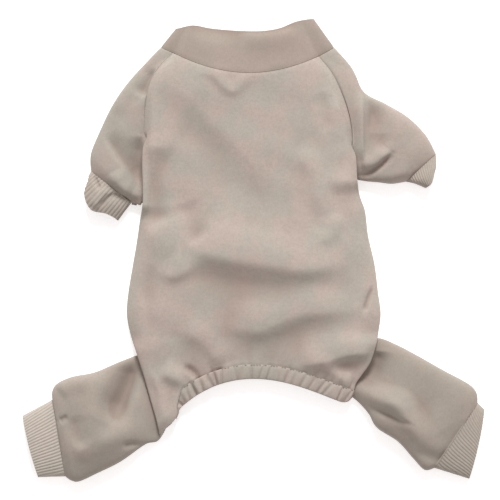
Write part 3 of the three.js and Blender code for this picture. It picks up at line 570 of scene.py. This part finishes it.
def top_point(t, u):
    """A point on top of the back: a flat superellipse from edge to edge, with the folds added."""
    row = between(BODY, t)
    weight, _, _, _, edge = fold_sizes(t, u < 0.5)
    left, right = on_body(row[..., 0], row[..., 1]), on_body(row[..., 2], row[..., 3])
    zero, one = np.zeros(1), np.ones(1)
    chord = lerp(hem_stitch(zero), hem_stitch(one), u[..., None])
    plan = lerp(left, right, u[..., None]) + (hem_stitch(u) - chord) * row[..., 5:6]
    plan[..., 1] -= row[..., 4] * NECK_SAG * BACK_LENGTH * 4 * u * (1 - u)
    crown = smooth(t, 0, CROWN_ROWS)
    power = lerp(SEAM_POWER, CROWN_POWER, crown)
    bulge = np.maximum(0, 1 - np.abs(2 * u - 1) ** power) ** lerp(1, 0.5, crown)
    lift = lift_of(plan, BACK_FOLDS) + slack(plan, SEEDS["back"], BACK_SLACK)
    crest = row[..., 6] * BODY_HEIGHT * lerp(HEM_HEIGHT, 1, smooth(from_hem(plan)[0], 0, HEM_SLOPE))
    z = edge + (crest - edge) * bulge + lift * smooth(1 - np.abs(2 * u - 1), 0, EDGE_EASE)
    return np.concatenate([plan, z[..., None]], -1)


def back_grid(t, s):
    """The back panel over sections t and places s: 0 to 4 goes round the left side fold, 4 to 5 crosses the
    back and 5 to 9 goes round the right one. Over a leg the fold is a quarter circle that lies on the leg.
    """
    t, s = np.meshgrid(t, s, indexing="ij")
    is_left = s < 4.5
    e = np.where(is_left, np.minimum(s, 4), np.minimum(9 - s, 4))
    row = between(BODY, t)
    width = np.linalg.norm(on_body(row[..., 0] - row[..., 2], row[..., 1] - row[..., 3]), axis=-1)
    weight, risen, under, height, edge = fold_sizes(t, is_left)
    strip = 4 * SIDE_FOLD / 3
    first = lerp(strip, strip / 2, weight) / width
    across = np.clip(s - 4, 0, 1)
    across = first + (1 - 2 * first) * (1 - np.cos(np.pi * across)) / 2

    def at(u):
        return top_point(t, np.where(is_left, u, 1 - u))

    middle = (s > 4) & (s < 5)
    crossing = top_point(t, across)
    beside = at(e / 4 * first)
    quarter = np.clip((3 - e) / 2, 0, 1) * np.pi / 2
    turn = lerp(UNDER_WRAP, HIP_TURN, risen)
    round_fold = RUN_ON * height * (1 - np.cos(quarter))
    inward = np.where(e < 1, lerp(turn, RUN_ON * height, e), np.where(e < 3, round_fold, 0))
    fold = at(np.where(e < 3, inward / width, first * np.clip(e - 3, 0, 1) ** 2))
    drop = np.where(e < 3, edge + (under - edge) * np.sin(quarter), fold[..., 2])
    fold = np.concatenate([fold[..., :2], drop[..., None]], -1)
    folded = lerp(beside, fold, weight[..., None])
    return np.where(middle[..., None], crossing, folded)


def grid_normals(grid, closed, up=False):
    """Unit normals of a grid of points, turned away from each ring's middle, or upwards."""
    if closed:
        across = np.roll(grid, -1, 1) - np.roll(grid, 1, 1)
    else:
        across = np.gradient(grid, axis=1)
    normals = unit(np.cross(across, np.gradient(grid, axis=0)))
    away = np.array([0, 0, 1.0]) if up else grid - grid.mean(1, keepdims=True)
    return normals * (-1 if (normals * away).sum() < 0 else 1)


def hollows(grid, closed):
    """How far each point lies below its neighbourhood, in mm: its height, blended with its neighbours' in
    rounds of a quarter, a half and a quarter both ways, less the height itself."""
    soft = grid[..., 2].copy()
    for _ in range(HOLLOW_ROUNDS):
        wide = np.pad(soft, ((1, 1), (0, 0)), mode="edge")
        soft = (wide[:-2] + 2 * soft + wide[2:]) / 4
        wide = np.pad(soft, ((0, 0), (1, 1)), mode="wrap" if closed else "edge")
        soft = (wide[:, :-2] + 2 * soft + wide[:, 2:]) / 4
    return soft - grid[..., 2]


def add_piece(name, node, outer, inner, closed, shaded=1.0):
    """A wall of cloth between an outer grid of points and the inner one under it, with its rims. Shaded
    weighs how much painted shade darkens its hollows."""
    rows, columns = outer.shape[:2]
    count = rows * columns
    spans = columns if closed else columns - 1
    i, j = np.meshgrid(np.arange(rows - 1), np.arange(spans), indexing="ij")
    k = (j + 1) % columns

    def quads(a, b, c, d):
        return np.stack([np.ravel(a), np.ravel(b), np.ravel(c), np.ravel(d)], -1)

    out = quads(i * columns + j, i * columns + k, (i + 1) * columns + k, (i + 1) * columns + j)
    faces = [out, out[:, ::-1] + count]
    j = np.arange(spans)
    k = (j + 1) % columns
    end = (rows - 1) * columns
    faces.append(quads(j, j + count, k + count, k))
    faces.append(quads(end + j, end + k, end + k + count, end + j + count))
    if not closed:
        i = np.arange(rows - 1) * columns
        last = columns - 1
        faces.append(quads(i, i + columns, i + columns + count, i + count))
        faces.append(quads(i + last, i + last + count, i + columns + last + count, i + columns + last))
    points = np.concatenate([outer.reshape(-1, 3), inner.reshape(-1, 3)])
    points[:, 2] = np.maximum(0, points[:, 2])
    piece = add_mesh(name, node, points, np.concatenate(faces))
    # The hollows' depth, kept to paint shade into the colour of the folds
    hollow_shade = piece.data.attributes.new("hollow_shade", "FLOAT", "POINT")
    deep = np.concatenate([(hollows(outer, closed) * shaded).ravel(), np.zeros(count)])
    hollow_shade.data.foreach_set("value", deep.astype(np.float32))
    return piece


def linked(name, data, place=(0, 0, 0)):
    """A new object in the scene."""
    made = bpy.data.objects.new(name, data)
    made.location = place
    bpy.context.collection.objects.link(made)
    return made


def add_mesh(name, node, points, faces):
    """A smooth-shaded mesh in the row frame, with its faces turned outwards."""
    a, b, c, d = (points[faces[:, n]] for n in range(4))
    volume = (np.cross(b - a, c - a) * a).sum() + (np.cross(c - a, d - a) * a).sum()
    if volume < 0:
        faces = faces[:, ::-1]
    placed = (points - [PLAN_ORIGIN[0], PLAN_ORIGIN[1], 0]) / 1000
    mesh = bpy.data.meshes.new(name)
    mesh.vertices.add(len(placed))
    mesh.vertices.foreach_set("co", placed.ravel().astype(np.float32))
    mesh.loops.add(faces.size)
    mesh.loops.foreach_set("vertex_index", faces.ravel().astype(np.int32))
    mesh.polygons.add(len(faces))
    mesh.polygons.foreach_set("loop_start", np.arange(0, faces.size, 4, dtype=np.int32))
    mesh.polygons.foreach_set("use_smooth", np.ones(len(faces), bool))
    mesh.update(calc_edges=True)
    mesh.validate()
    piece = linked(name, mesh)
    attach(piece, "root")
    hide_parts(node)
    return piece


def flat_ring(front, back, height, shares):
    """A flattened ring in the upright plane through two points of the plan: rounded above, flat below.

    Shares 0 to 1 run over the top from front to back and 1 to 2 back underneath, evenly by length.
    """
    middle, half = (front + back) / 2, (back - front) / 2
    waist = RING_WAIST * height
    steps = np.linspace(0, 1, RING_POINTS)
    ring = np.zeros((len(shares), 3))
    for under in (0, 1):
        angle = np.pi * (1 - steps - under)
        c, s = np.cos(angle), np.sin(angle)
        below = waist * np.maximum(0, 1 + s / RING_UNDER) ** 2
        z = below if under else waist + (height - waist) * np.maximum(0, s) ** RING_POWER
        points = np.concatenate([middle + half * c[:, None], z[:, None]], 1)
        length = length_along(points)
        mine = np.floor(shares % 2) == under
        target = (shares[mine] % 1) * length[-1]
        ring[mine] = np.stack([np.interp(target, length, points[:, n]) for n in range(3)], -1)
    return ring


def rings(front, rear, height, shares):
    """A flattened ring for each section."""
    return np.stack([flat_ring(*section, shares) for section in zip(front, rear, height)])


def through(keys, rows):
    """A surface of so many rows on a smooth curve through rings of points, nowhere below the floor."""
    grid = between(keys, np.linspace(0, len(keys) - 1, rows))
    grid[..., 2] = np.maximum(0, grid[..., 2])
    return grid


def limb_sections(bearing, out, rows, origin, length, width, height):
    """Front points, back points and heights of a limb's sections in plan."""
    angle = np.radians(bearing)
    ahead = np.array([np.cos(angle), np.sin(angle)])
    outward = np.array([-ahead[1], ahead[0]]) * out

    def place(along, aside):
        return origin + along[:, None] * length * ahead + aside[:, None] * width * outward

    return place(rows[:, 0], rows[:, 1]), place(rows[:, 2], rows[:, 3]), rows[:, 4] * height


def section_axis(front, back, bearing):
    """The unit direction in plan across a section, towards the limb's end."""
    axis = unit(np.array([back[1] - front[1], front[0] - back[0], 0]))
    angle = np.radians(bearing)
    return axis * np.sign(axis @ [np.cos(angle), np.sin(angle), 0])


def cut_square(limb, normals, row):
    """Turns a row of normals into the plane of a limb's last section, and gives the way across it."""
    axis = section_axis(limb["front"], limb["back"], limb["bearing"])
    normals[row] = unit(normals[row] - (normals[row] @ axis)[:, None] * axis)
    return axis


def off_seam(seam, normals, inner, closed):
    """A seam's points moved by half the gap into their piece; what lies on the floor stays on it."""
    if closed:
        along = np.roll(seam, -1, 0) - np.roll(seam, 1, 0)
    else:
        along = np.gradient(seam, axis=0)
    side = unit(np.cross(along, normals))
    side *= np.where(((inner - seam) * side).sum(-1) < 0, -1, 1)[:, None]
    moved = seam + side * SEAM_GAP / 2
    moved[:, 2] = np.where(seam[:, 2] <= 1e-6, 0, np.maximum(0, moved[:, 2]))
    return moved


def share_normals(a, b):
    """Gives the two sides of a seam, given as (normals, index) pairs, the same normals."""
    a[0][a[1]] = b[0][b[1]] = unit(a[0][a[1]] + b[0][b[1]])


def belly_edge(side):
    """The belly panel's edge: the back panel's own behind the armpit, and inwards of the sleeve seam before
    it."""
    column = EDGE[side]
    row = between(BODY, belly_t)
    x, y = (row[:, 0], row[:, 1]) if side == "left" else (row[:, 2], row[:, 3])
    corner = on_body(x, y)
    whole = np.clip(np.floor(belly_t).astype(int), 0, len(BELLY_INSET) - 2)
    inset = lerp(BELLY_INSET[whole], BELLY_INSET[whole + 1], belly_t - whole)
    corner[:, 0] += UNDER_WRAP * inset * (1 if side == "left" else -1)
    before = np.concatenate([corner, np.zeros((len(corner), 1))], 1)
    behind = belly_t >= ARMPIT[side] + 1
    return np.where(behind[:, None], back[: len(belly_t), column], before)


def shoulder_neck(side):
    """The neckline round a shoulder, from the back panel's corner to the belly panel's, on two quarter
    ellipses."""
    column = EDGE[side]
    top, under = back[0, column], belly[0, column]
    corner = on_body(*COLLAR_CORNERS[side])
    middle = (top + under) / 2
    outermost = np.array([corner[0], corner[1], NECK_FOLD]) - middle
    turn = np.pi * np.linspace(0.5, -0.5, SHOULDER_POINTS + 2)[1:-1]
    upright = np.where((turn > 0)[:, None], top - middle, under - middle) * np.abs(np.sin(turn))[:, None]
    return middle + outermost * np.cos(turn)[:, None] + upright


def length_shares(points):
    """How far along a line each of its points lies, as a share of its length."""
    length = length_along(points)
    return length / length[-1]


def sleeve(side, rows):
    """A sleeve from its seam with the body and the collar to its cuff seam: rings on a smooth curve through
    the seam and the sleeve's sections."""
    bearing, out, table = SLEEVES[side]
    column = EDGE[side]
    sewn = back_t <= ARMPIT[side] + 1
    top = back[sewn, column]
    under = belly[: sewn.sum(), column][::-1]
    armpit = int(np.argmin(np.abs(back_t - ARMPIT[side])))
    top_shares = np.concatenate([
        lerp(NECK_SHARE, ARMPIT_SHARE, length_shares(top[: armpit + 1])),
        lerp(ARMPIT_SHARE, 1, length_shares(top[armpit:])[1:]),
    ])
    under_shares = 1 + length_shares(under) * (1 - NECK_SHARE)
    neck = shoulder_neck(side)[::-1]
    neck_shares = (2 + NECK_SHARE * np.linspace(-1, 1, len(neck) + 2)[1:-1]) % 2
    seam = np.concatenate([top, under[1:], neck])
    shares = np.concatenate([top_shares, under_shares[1:], neck_shares])
    front, rear, height = limb_sections(
        bearing, out, table, on_body(*COLLAR_CORNERS[side]), SLEEVE_LENGTH, SLEEVE_LENGTH, SLEEVE_HEIGHT)
    keys = np.concatenate([seam[None], rings(front, rear, height, shares)])
    return {"grid": through(keys, rows), "shares": shares, "front": front[-1], "back": rear[-1],
            "height": height[-1], "bearing": bearing, "out": out, "sewn": int(sewn.sum())}


def leg(side, rows, columns):
    """A trouser leg from under the back panel to its cuff seam, on a smooth curve through its sections."""
    bearing, out, table = LEGS[side]
    front, rear, height = limb_sections(
        bearing, out, table, on_body(*LEG_ROOTS[side]), LEG_LENGTH, LEG_WIDTH, LEG_HEIGHT)
    shares = np.arange(columns) * 2 / columns
    keys = rings(front, rear, height, shares)
    return {"grid": through(keys, rows), "shares": shares, "front": front[-1], "back": rear[-1],
            "height": height[-1], "bearing": bearing, "out": out}


def lift_limb(name, limb):
    """Adds folds and slack to the top of a limb, fading out at its sides, its seams and under it."""
    grid = limb["grid"]
    over = np.sin(np.pi * np.clip(limb["shares"], 0, 1)) ** LIMB_ROUNDING * (limb["shares"] < 1)
    along = np.linspace(0, 1, len(grid))
    ends = smooth(along, 0, LIMB_ENDS[0]) * smooth(1 - along, 0, LIMB_ENDS[1])
    lift = lift_of(grid[..., :2], LIMB_FOLDS[name]) + slack(grid[..., :2], SEEDS[name], LIMB_SLACK)
    grid[..., 2] += lift * over * ends[:, None]
    limb["normals"] = grid_normals(grid, True)


def collar_grid():
    """The collar's rings: straight lines from the neckline to the collar's own edge, a little bellied."""
    ring = np.concatenate([
        back[0], shoulder_neck("right"), belly[0][::-1], shoulder_neck("left")[::-1]])
    corners = on_body(*COLLAR_CORNERS["left"]), on_body(*COLLAR_CORNERS["right"])
    ends = on_body(*COLLAR_ENDS["left"]), on_body(*COLLAR_ENDS["right"])
    u = np.clip((ring[:, 0] - corners[0][0]) / (corners[1][0] - corners[0][0]), 0, 1)
    rise = between(COLLAR_EDGE[:, None], u * (len(COLLAR_EDGE) - 1))[:, 0] * COLLAR_HEIGHT
    plan = lerp(ends[0], ends[1], u[:, None])
    across = np.sqrt(1 - np.minimum(1, np.abs(2 * u - 1)) ** COLLAR_POWER)
    above = (np.arange(len(ring)) < back.shape[1]) | (ring[:, 2] > NECK_FOLD)
    z = COLLAR_LOFT * np.where(above, lerp(COLLAR_REST, 1, across), COLLAR_REST * (1 - across))
    edge = np.stack([plan[:, 0], plan[:, 1] + rise, z], -1)
    share = np.linspace(0, 1, COLLAR_ROWS)[:, None]
    grid = lerp(ring, edge, share[..., None])
    top = above * across
    belly_out = COLLAR_BELLY * np.sin(np.pi * share) * top
    grid[..., 2] += lift_of(grid[..., :2], COLLAR_FOLDS) * top * smooth(share, 0, COLLAR_EASES[0])
    limp = slack(grid[..., :2], SEEDS["collar"], COLLAR_SLACK) * top
    grid[..., 2] += belly_out + limp * smooth(share, 0, COLLAR_EASES[1])
    grid[..., 2] = np.maximum(0, grid[..., 2])
    return grid


def join_normals():
    """Gives the back panel, the sleeves and the collar the same normals along the seams between them."""
    for side, column in EDGE.items():
        limb = limbs["sleeve"][side]
        sewn = slice(0, limb["sewn"])
        share_normals((back_normals, (sewn, column)), (limb["normals"], (0, sewn)))
    share_normals((back_normals, (0, slice(None))), (collar_normals, (0, slice(0, back.shape[1]))))


def off_floor(grid):
    """Whether each point lies higher than a layer of cloth on the floor."""
    return grid[..., 2] > CLOTH + 1


def dip_to_seam(grid, normals, distance):
    """Pulls a surface in towards a seam: most at the seam, fading as e to the minus (distance / reach)
    squared."""
    return grid - normals * (SEAM_DIP * np.exp(-((distance / SEAM_REACH) ** 2)))[..., None]


def along_rows(grid):
    """Each point's distance from the grid's first row, measured along its column."""
    step = np.linalg.norm(np.diff(grid, axis=0), axis=-1)
    return np.concatenate([np.zeros((1, grid.shape[1])), np.cumsum(step, 0)])


def along_columns(grid):
    """Each point's distance from the grid's first column, measured along its row."""
    return along_rows(grid.swapaxes(0, 1)).swapaxes(0, 1)


def panel(name, node, grid, normals, places):
    """A cloth panel drawn in to its seams: its first row and its two sides stand off theirs by half the
    gap. Painted shade darkens its hollows only on top, between the places where the side folds begin."""
    outer = grid.copy()
    outer[0] = off_seam(grid[0], normals[0], grid[1], False)
    outer[:, 0] = off_seam(outer[:, 0], normals[:, 0], grid[:, 1], False)
    outer[:, -1] = off_seam(outer[:, -1], normals[:, -1], grid[:, -2], False)
    far = np.minimum(along_rows(grid), along_rows(grid[::-1])[::-1])
    far = np.minimum(far, np.minimum(along_columns(grid), along_columns(grid[:, ::-1])[:, ::-1]))
    dipped = dip_to_seam(outer, normals, np.where(off_floor(grid), far, NO_SEAM))
    side = np.minimum(places, places[-1] - places)
    shaded = smooth(side, *TOP_BEGINS)
    return add_piece(name, node, dipped, outer - normals * CLOTH, False, shaded)


def tube(kind, side, limb):
    """A sleeve, sewn on at its first ring, or a leg, free there; both are cut square at the cuff."""
    grid, normals = limb["grid"], limb["normals"].copy()
    axis = cut_square(limb, normals, -1)
    outer = grid.copy()
    far = np.full(grid.shape[:2], NO_SEAM)
    if kind == "sleeve":
        outer[0] = off_seam(grid[0], normals[0], grid[1], True)
        far = along_rows(grid)
    outer[-1] = grid[-1] - axis * SEAM_GAP / 2
    dipped = dip_to_seam(outer, normals, np.where(off_floor(grid), far, NO_SEAM))
    # Painted shade darkens the hollows over the top of the ring and fades towards its sides
    shaded = np.sqrt(np.sin(np.pi * np.clip(limb["shares"], 0, 1)).clip(0))
    inner = outer - normals * CLOTH
    return add_piece(f"{kind}_cloth_{side}", f"{kind}_{side}", dipped, inner, True, shaded)


def cuff(kind, side, limb):
    """A rib cuff: rings through the limb's last section and the cuff's own, with ribs as rounded ridges.

    The ribs' depth goes as a high power of the cosine round the cuff, so their furrows are narrow.
    """
    part = f"{kind}_{side}"
    rows, ribs, folds = CUFFS[part], CUFF_RIBS[kind], CUFF_FOLDS.get(part, ())
    angle = np.radians(limb["bearing"])
    ahead = np.array([np.cos(angle), np.sin(angle)]) * CUFF_LENGTH
    outward = np.array([-ahead[1], ahead[0]]) * limb["out"]
    front = [limb["front"]] + [limb["front"] + a * ahead + b * outward for a, b in rows[:, :2]]
    rear = [limb["back"]] + [limb["back"] + a * ahead + b * outward for a, b in rows[:, 2:4]]
    height = [limb["height"]] + list(rows[:, 4] * CUFF_LOFT)
    columns = ribs * RIB_COLUMNS
    shares = np.arange(columns) * 2 / columns
    keys = rings(front, rear, height, shares)
    for k in range(1, len(keys)):
        way = rear[k] - front[k]
        across = np.clip((keys[k, :, :2] - front[k]) @ way / (way @ way), 0, 1)
        keys[k, :, :2] += between(CUFF_SWEEP[part], 4 * across) * k / (len(keys) - 1)
    grid = through(keys, CUFF_ROWS)
    over = np.sin(np.pi * np.clip(shares, 0, 1)) ** CUFF_ROUNDING * (shares < 1)
    along = np.linspace(0, 1, len(grid))
    ends = smooth(along, 0, CUFF_EASES[0])
    grid[..., 2] += lift_of(grid[..., :2], folds) * over * ends[:, None]
    normals = grid_normals(grid, True)
    axis = cut_square(limb, normals, 0)
    grid[0] += axis * SEAM_GAP / 2
    wound = shares - CUFF_WIND[part] * along[:, None]
    rib = 1 - np.cos(np.pi * wound * ribs / 2) ** RIB_POWER
    start = smooth(along, 0, CUFF_EASES[1])
    outer = grid - normals * (RIB_DEPTH * (1 - rib) * start[:, None])[..., None]
    outer[..., 2] = np.maximum(0, outer[..., 2])
    inner = grid - normals * (CUFF_WALL + RIB_DEPTH)
    return add_piece(f"{kind}_rib_{side}", f"{kind}_cuff_{side}", outer, inner, True)


def draw_puckers(seed):
    """The hem's puckers: a place along its length, a depth, a half width, a skew and a reach into the panel
    each. The main ones come last."""
    rng = np.random.default_rng(seed)
    place, rows = FIRST_PUCKER, []
    while place < hem_length(1.0) - PUCKER_MARGIN:
        rows.append([place, *(rng.uniform(*limits) for limits in PUCKER_RANGES)])
        place += rng.uniform(*PUCKER_STEPS)
    return np.array(rows + [[hem_length(u), *MAIN_PUCKER] for u in MAIN_PUCKERS])


def pucker_panel(grid):
    """Carries the hem's puckers on into the back panel, where each widens and fades with its distance."""
    near, along = from_hem(grid[..., :2])
    lift = np.zeros(grid.shape[:2])
    for place, depth, width, skew, reach in PUCKERS:
        wide = width * (1 + near / PANEL_SPREAD)
        lift -= PANEL_DEPTH * depth * np.exp(-(((along - place - skew * near) / wide) ** 2) - near / reach)
    return (lift + lift_of(grid[..., :2], PANEL_PUCKERS)) * (1 - smooth(near, *PANEL_FADE))


def casing():
    """The tail hem's casing: a flat tube along the hem, drawn up into puckers by its elastic.

    Each ring is a superellipse across the band. A pucker lowers and thins it, most at the edge, by its
    depth times e to the minus (distance / width) squared.
    """
    u = np.linspace(CASING_START, 1, CASING_RINGS)
    turn = np.linspace(0, 2 * np.pi, CASING_COLUMNS + 1)[:-1]
    sewn = top_point(np.full(len(u), float(HEM_SECTION)), u - CASING_LAP * (1 - smooth(u, *HEM_START)))
    stitch, edge = sewn[:, :2], hem_edge(u)
    dive = CASING_DIVE * (1 - smooth(u, CASING_START, HEM_START[1]))
    level = sewn[:, 2] - HEM_THICKNESS / 2 + CASING_SEAT - dive
    end = np.sqrt(1 - (1 - np.clip((1 - u) / CASING_END, 0, 1)) ** 2)
    edge = lerp(stitch, edge, lerp(CASING_TAPER, 1, end)[:, None])
    across = (1 - np.cos(turn)) / 2
    side = np.sign(np.sin(turn)) * np.abs(np.sin(turn)) ** CASING_POWER
    length = hem_length(u)[:, None]
    drawn = np.zeros((len(u), len(turn)))
    for place, depth, width, skew, _ in PUCKERS:
        drawn += depth * np.exp(-(((length - place + skew * HEM_WIDTH * across) / width) ** 2))
    plan = lerp(stitch[:, None], edge[:, None], lerp(-CASING_OVERLAP, 1, across)[None, :, None])
    swell, thinned = CASING_SWELL
    half = HEM_THICKNESS / 2 * np.clip(swell - thinned * drawn * (side > 0), *CASING_LIMITS)
    sunk = drawn * (PUCKER_DROP[0] + PUCKER_DROP[1] * across)
    z = level[:, None] + side * half - sunk - CASING_DROOP * across
    grid = np.concatenate([plan, z[..., None]], -1)
    normals = grid_normals(grid, True)
    return add_piece("tail_casing", "tail_hem_casing", grid, grid - normals * CASING_WALL, True)


def hem_stitches():
    """The casing's seam: a row of short stitches on the cloth, each an ellipsoid along the seam."""
    u = np.linspace(HEM_START[1], STITCH_END, STITCHES)
    t = np.full(len(u), HEM_SECTION - STITCH_INSET)
    place = top_point(t, u)
    place[:, 2] += pucker_panel(place[None])[0]
    along = top_point(t, u + STITCH_STEP) - top_point(t, u - STITCH_STEP)
    along = unit(along * [1, 1, 0])
    aside = np.stack([-along[:, 1], along[:, 0], 0 * along[:, 0]], -1)
    rise = np.linspace(0, np.pi, STITCH_RINGS)[:, None]
    turn = np.linspace(0, 2 * np.pi, STITCH_SIDES + 1)[:-1][None]
    a, b, c = (x.ravel()[None, :, None] for x in np.broadcast_arrays(
        np.cos(rise), np.sin(rise) * np.cos(turn), np.sin(rise) * np.sin(turn)))
    length, width = STITCH_SIZE
    points = place[:, None] + along[:, None] * a * length / 2 + aside[:, None] * b * width / 2
    points = points + np.array([0, 0, 1]) * c * width / 2
    i, j = np.meshgrid(np.arange(STITCH_RINGS - 1), np.arange(STITCH_SIDES), indexing="ij")
    i, k = i * STITCH_SIDES, (j + 1) % STITCH_SIDES
    quad = np.stack([i + j, i + STITCH_SIDES + j, i + STITCH_SIDES + k, i + k], -1).reshape(-1, 4)
    faces = quad[None] + (np.arange(STITCHES) * STITCH_RINGS * STITCH_SIDES)[:, None, None]
    return add_mesh("hem_stitches", "tail_hem_casing", points.reshape(-1, 3), faces.reshape(-1, 4))


def mixed(tree, weight, a, b):
    """A colour that goes from a to b with the weight."""
    mix = tree.nodes.new("ShaderNodeMix")
    mix.data_type = "RGBA"
    tree.links.new(weight, mix.inputs["Factor"])
    for value, name in ((a, "A"), (b, "B")):
        socket = [x for x in mix.inputs if x.name == name and x.type == "RGBA"][0]
        if hasattr(value, "links"):
            tree.links.new(value, socket)
        else:
            socket.default_value = (*value, 1)
    return [x for x in mix.outputs if x.type == "RGBA"][0]


def shader_node(tree, kind, inputs, output=0, **settings):
    """One output of a new shader node, whose inputs are set to values or linked to other outputs."""
    made = tree.nodes.new("ShaderNode" + kind)
    for name, value in settings.items():
        setattr(made, name, value)
    for name, value in inputs.items():
        if hasattr(value, "links"):
            tree.links.new(value, made.inputs[name])
        else:
            made.inputs[name].default_value = value
    return made.outputs[output]


def noise(tree, place, scale, detail, roughness):
    """Noise of so many lumps a metre."""
    lumps = {"Scale": scale, "Detail": detail, "Roughness": roughness, "Vector": place}
    return shader_node(tree, "TexNoise", lumps, "Fac")


def weighed(tree, value, weight):
    """A value times a weight."""
    return shader_node(tree, "Math", {0: value, 1: weight}, operation="MULTIPLY")


def stepped(tree, value, low, high):
    """A value eased from 0 at low to 1 at high."""
    span = {"Value": value, "From Min": low, "From Max": high}
    return shader_node(tree, "MapRange", span, "Result", interpolation_type="SMOOTHSTEP")


def brushed_knit(name, warm, cool, dark, pile):
    """Brushed cotton knit: warm and cool blotches, wear, mottle and flecks of the dark between the fibres,
    a darker, redder painted shade in the hollows, a soft sheen and short matt pile."""
    material = bpy.data.materials.new(name)
    material.use_nodes = True
    tree = material.node_tree
    shader = tree.nodes["Principled BSDF"].inputs
    place = shader_node(tree, "TexCoord", {}, "Object")
    *lumps, low, high = BLOTCH
    blotch = stepped(tree, noise(tree, place, *lumps), low, high)
    colour = mixed(tree, blotch, warm, cool)
    for *lumps, low, high, weight in LAYERS:
        layer = stepped(tree, noise(tree, place, *lumps), low, high)
        colour = mixed(tree, weighed(tree, layer, weight), colour, dark)
    # Painted shade: the hollows are mixed towards a darker, redder colour, where shade falls in the folds
    hollow_shade = shader_node(tree, "Attribute", {}, "Fac", attribute_name="hollow_shade")
    depth = weighed(tree, stepped(tree, hollow_shade, *PAINTED_SHADE_RANGE), PAINTED_SHADE_WEIGHT)
    colour = mixed(tree, depth, colour, tuple(np.multiply(warm, PAINTED_SHADE_TINT)))
    tree.links.new(colour, shader["Base Color"])
    shader["Roughness"].default_value = ROUGHNESS
    shader["Specular IOR Level"].default_value = SPECULAR
    for value, socket in zip(SHEEN, ("Sheen Weight", "Sheen Roughness", "Sheen Tint")):
        shader[socket].default_value = value
    bumps = {}
    for *lumps, strength, distance in ((*PILE, pile), LUMPS):
        height = noise(tree, place, *lumps)
        bumps = {"Height": height, "Strength": strength, "Distance": distance, **bumps}
        bumps = {"Normal": shader_node(tree, "Bump", bumps, "Normal")}
    tree.links.new(bumps["Normal"], shader["Normal"])
    return material


# Back panel and belly panel
back_t = np.unique(np.concatenate([
    np.linspace(0, HEM_SECTION, BACK_ROWS),
    [ARMPIT["left"], ARMPIT["right"], ARMPIT["left"] + 1, ARMPIT["right"] + 1, BELLY_END],
]))
back_s = np.concatenate([
    np.linspace(0, 4, FOLD_STEPS, endpoint=False),
    np.linspace(4, 5, TOP_STEPS, endpoint=False),
    np.linspace(5, 9, FOLD_STEPS + 1),
])
back = back_grid(back_t, back_s)
back_normals = grid_normals(back, False, up=True)

belly_t = back_t[back_t <= BELLY_END]
belly_u = np.linspace(0, 1, BELLY_STEPS + 1)
belly = lerp(belly_edge("left")[:, None], belly_edge("right")[:, None], belly_u[None, :, None])
belly[..., 1] -= between(BODY, belly_t)[:, 4:5] * BELLY_NECK_SAG * BACK_LENGTH * 4 * belly_u * (1 - belly_u)
belly[..., 2] = 0
belly_normals = np.zeros_like(belly)
belly_normals[..., 2] = -1

# Limbs and collar
limbs = {
    "sleeve": {side: sleeve(side, SLEEVE_ROWS) for side in EDGE},
    "leg": {side: leg(side, LEG_ROWS, LEG_COLUMNS) for side in EDGE},
}
for kind in limbs:
    for side, limb in limbs[kind].items():
        lift_limb(f"{kind}_{side}", limb)
collar = collar_grid()
collar_normals = grid_normals(collar, True)
join_normals()

# The hem's puckers
PUCKERS = draw_puckers(SEEDS["hem"])
back[..., 2] += pucker_panel(back) * (back[..., 2] > 2 * CLOTH)
back_normals = grid_normals(back, False, up=True)
join_normals()

# Pieces
pieces = {
    "back": panel("back_cloth", "back_panel", back, back_normals, back_s),
    "belly": panel("belly_cloth", "belly_panel", belly, belly_normals, belly_u * 0),
    "casing": casing(),
    "stitches": hem_stitches(),
}
seam = collar.copy()
seam[0] = off_seam(collar[0], collar_normals[0], collar[1], True)
seam = dip_to_seam(seam, collar_normals, np.where(off_floor(collar), along_rows(collar), NO_SEAM))
pieces["collar"] = add_piece(
    "collar_cloth", "collar", seam, collar - collar_normals * COLLAR_WALL, True)
for side in EDGE:
    for kind in limbs:
        pieces[f"{kind}_{side}"] = tube(kind, side, limbs[kind][side])
    for kind in limbs:
        pieces[f"{kind}_cuff_{side}"] = cuff(kind, side, limbs[kind][side])

knits = {name: brushed_knit(name, *look) for name, look in KNITS.items()}
pieces["stitches"].data.materials.append(knits["seam_thread"])
for name, (knit, flat, area) in CUTS.items():
    pieces[name].data.materials.append(knits[knit])

# Floor, light and camera
floor = bpy.data.meshes.new("floor")
corners = [(x * FLOOR_HALF, y * FLOOR_HALF, FLOOR_LEVEL) for x, y in ((-1, -1), (1, -1), (1, 1), (-1, 1))]
floor.from_pydata(corners, [], [(0, 1, 2, 3)])
ground = linked("floor", floor)
white = bpy.data.materials.new("white_floor")
white.use_nodes = True
paper = white.node_tree.nodes["Principled BSDF"].inputs
paper["Base Color"].default_value = FLOOR_COLOUR
paper["Roughness"].default_value = FLOOR_ROUGHNESS
paper["Emission Color"].default_value = (1, 1, 1, 1)
paper["Emission Strength"].default_value = FLOOR_GLOW
floor.materials.append(white)

world = bpy.data.worlds.new("studio")
world.use_nodes = True
world.node_tree.nodes["Background"].inputs["Color"].default_value = SKY_COLOUR
world.node_tree.nodes["Background"].inputs["Strength"].default_value = SKY_STRENGTH
bpy.context.scene.world = world

light = bpy.data.lights.new("window", "AREA")
light.size = WINDOW_SIZE
light.energy = WINDOW_POWER
window = linked("window", light, WINDOW_PLACE)
window.rotation_euler = (-Vector(WINDOW_PLACE)).to_track_quat("-Z", "Y").to_euler()

lens = bpy.data.cameras.new("camera")
lens.lens = LENS
lens.sensor_width = SENSOR_WIDTH
lens.clip_end = CLIP_END
bpy.context.scene.camera = linked("camera", lens, CAMERA_PLACE)
bpy.context.scene.view_settings.view_transform = "Standard"
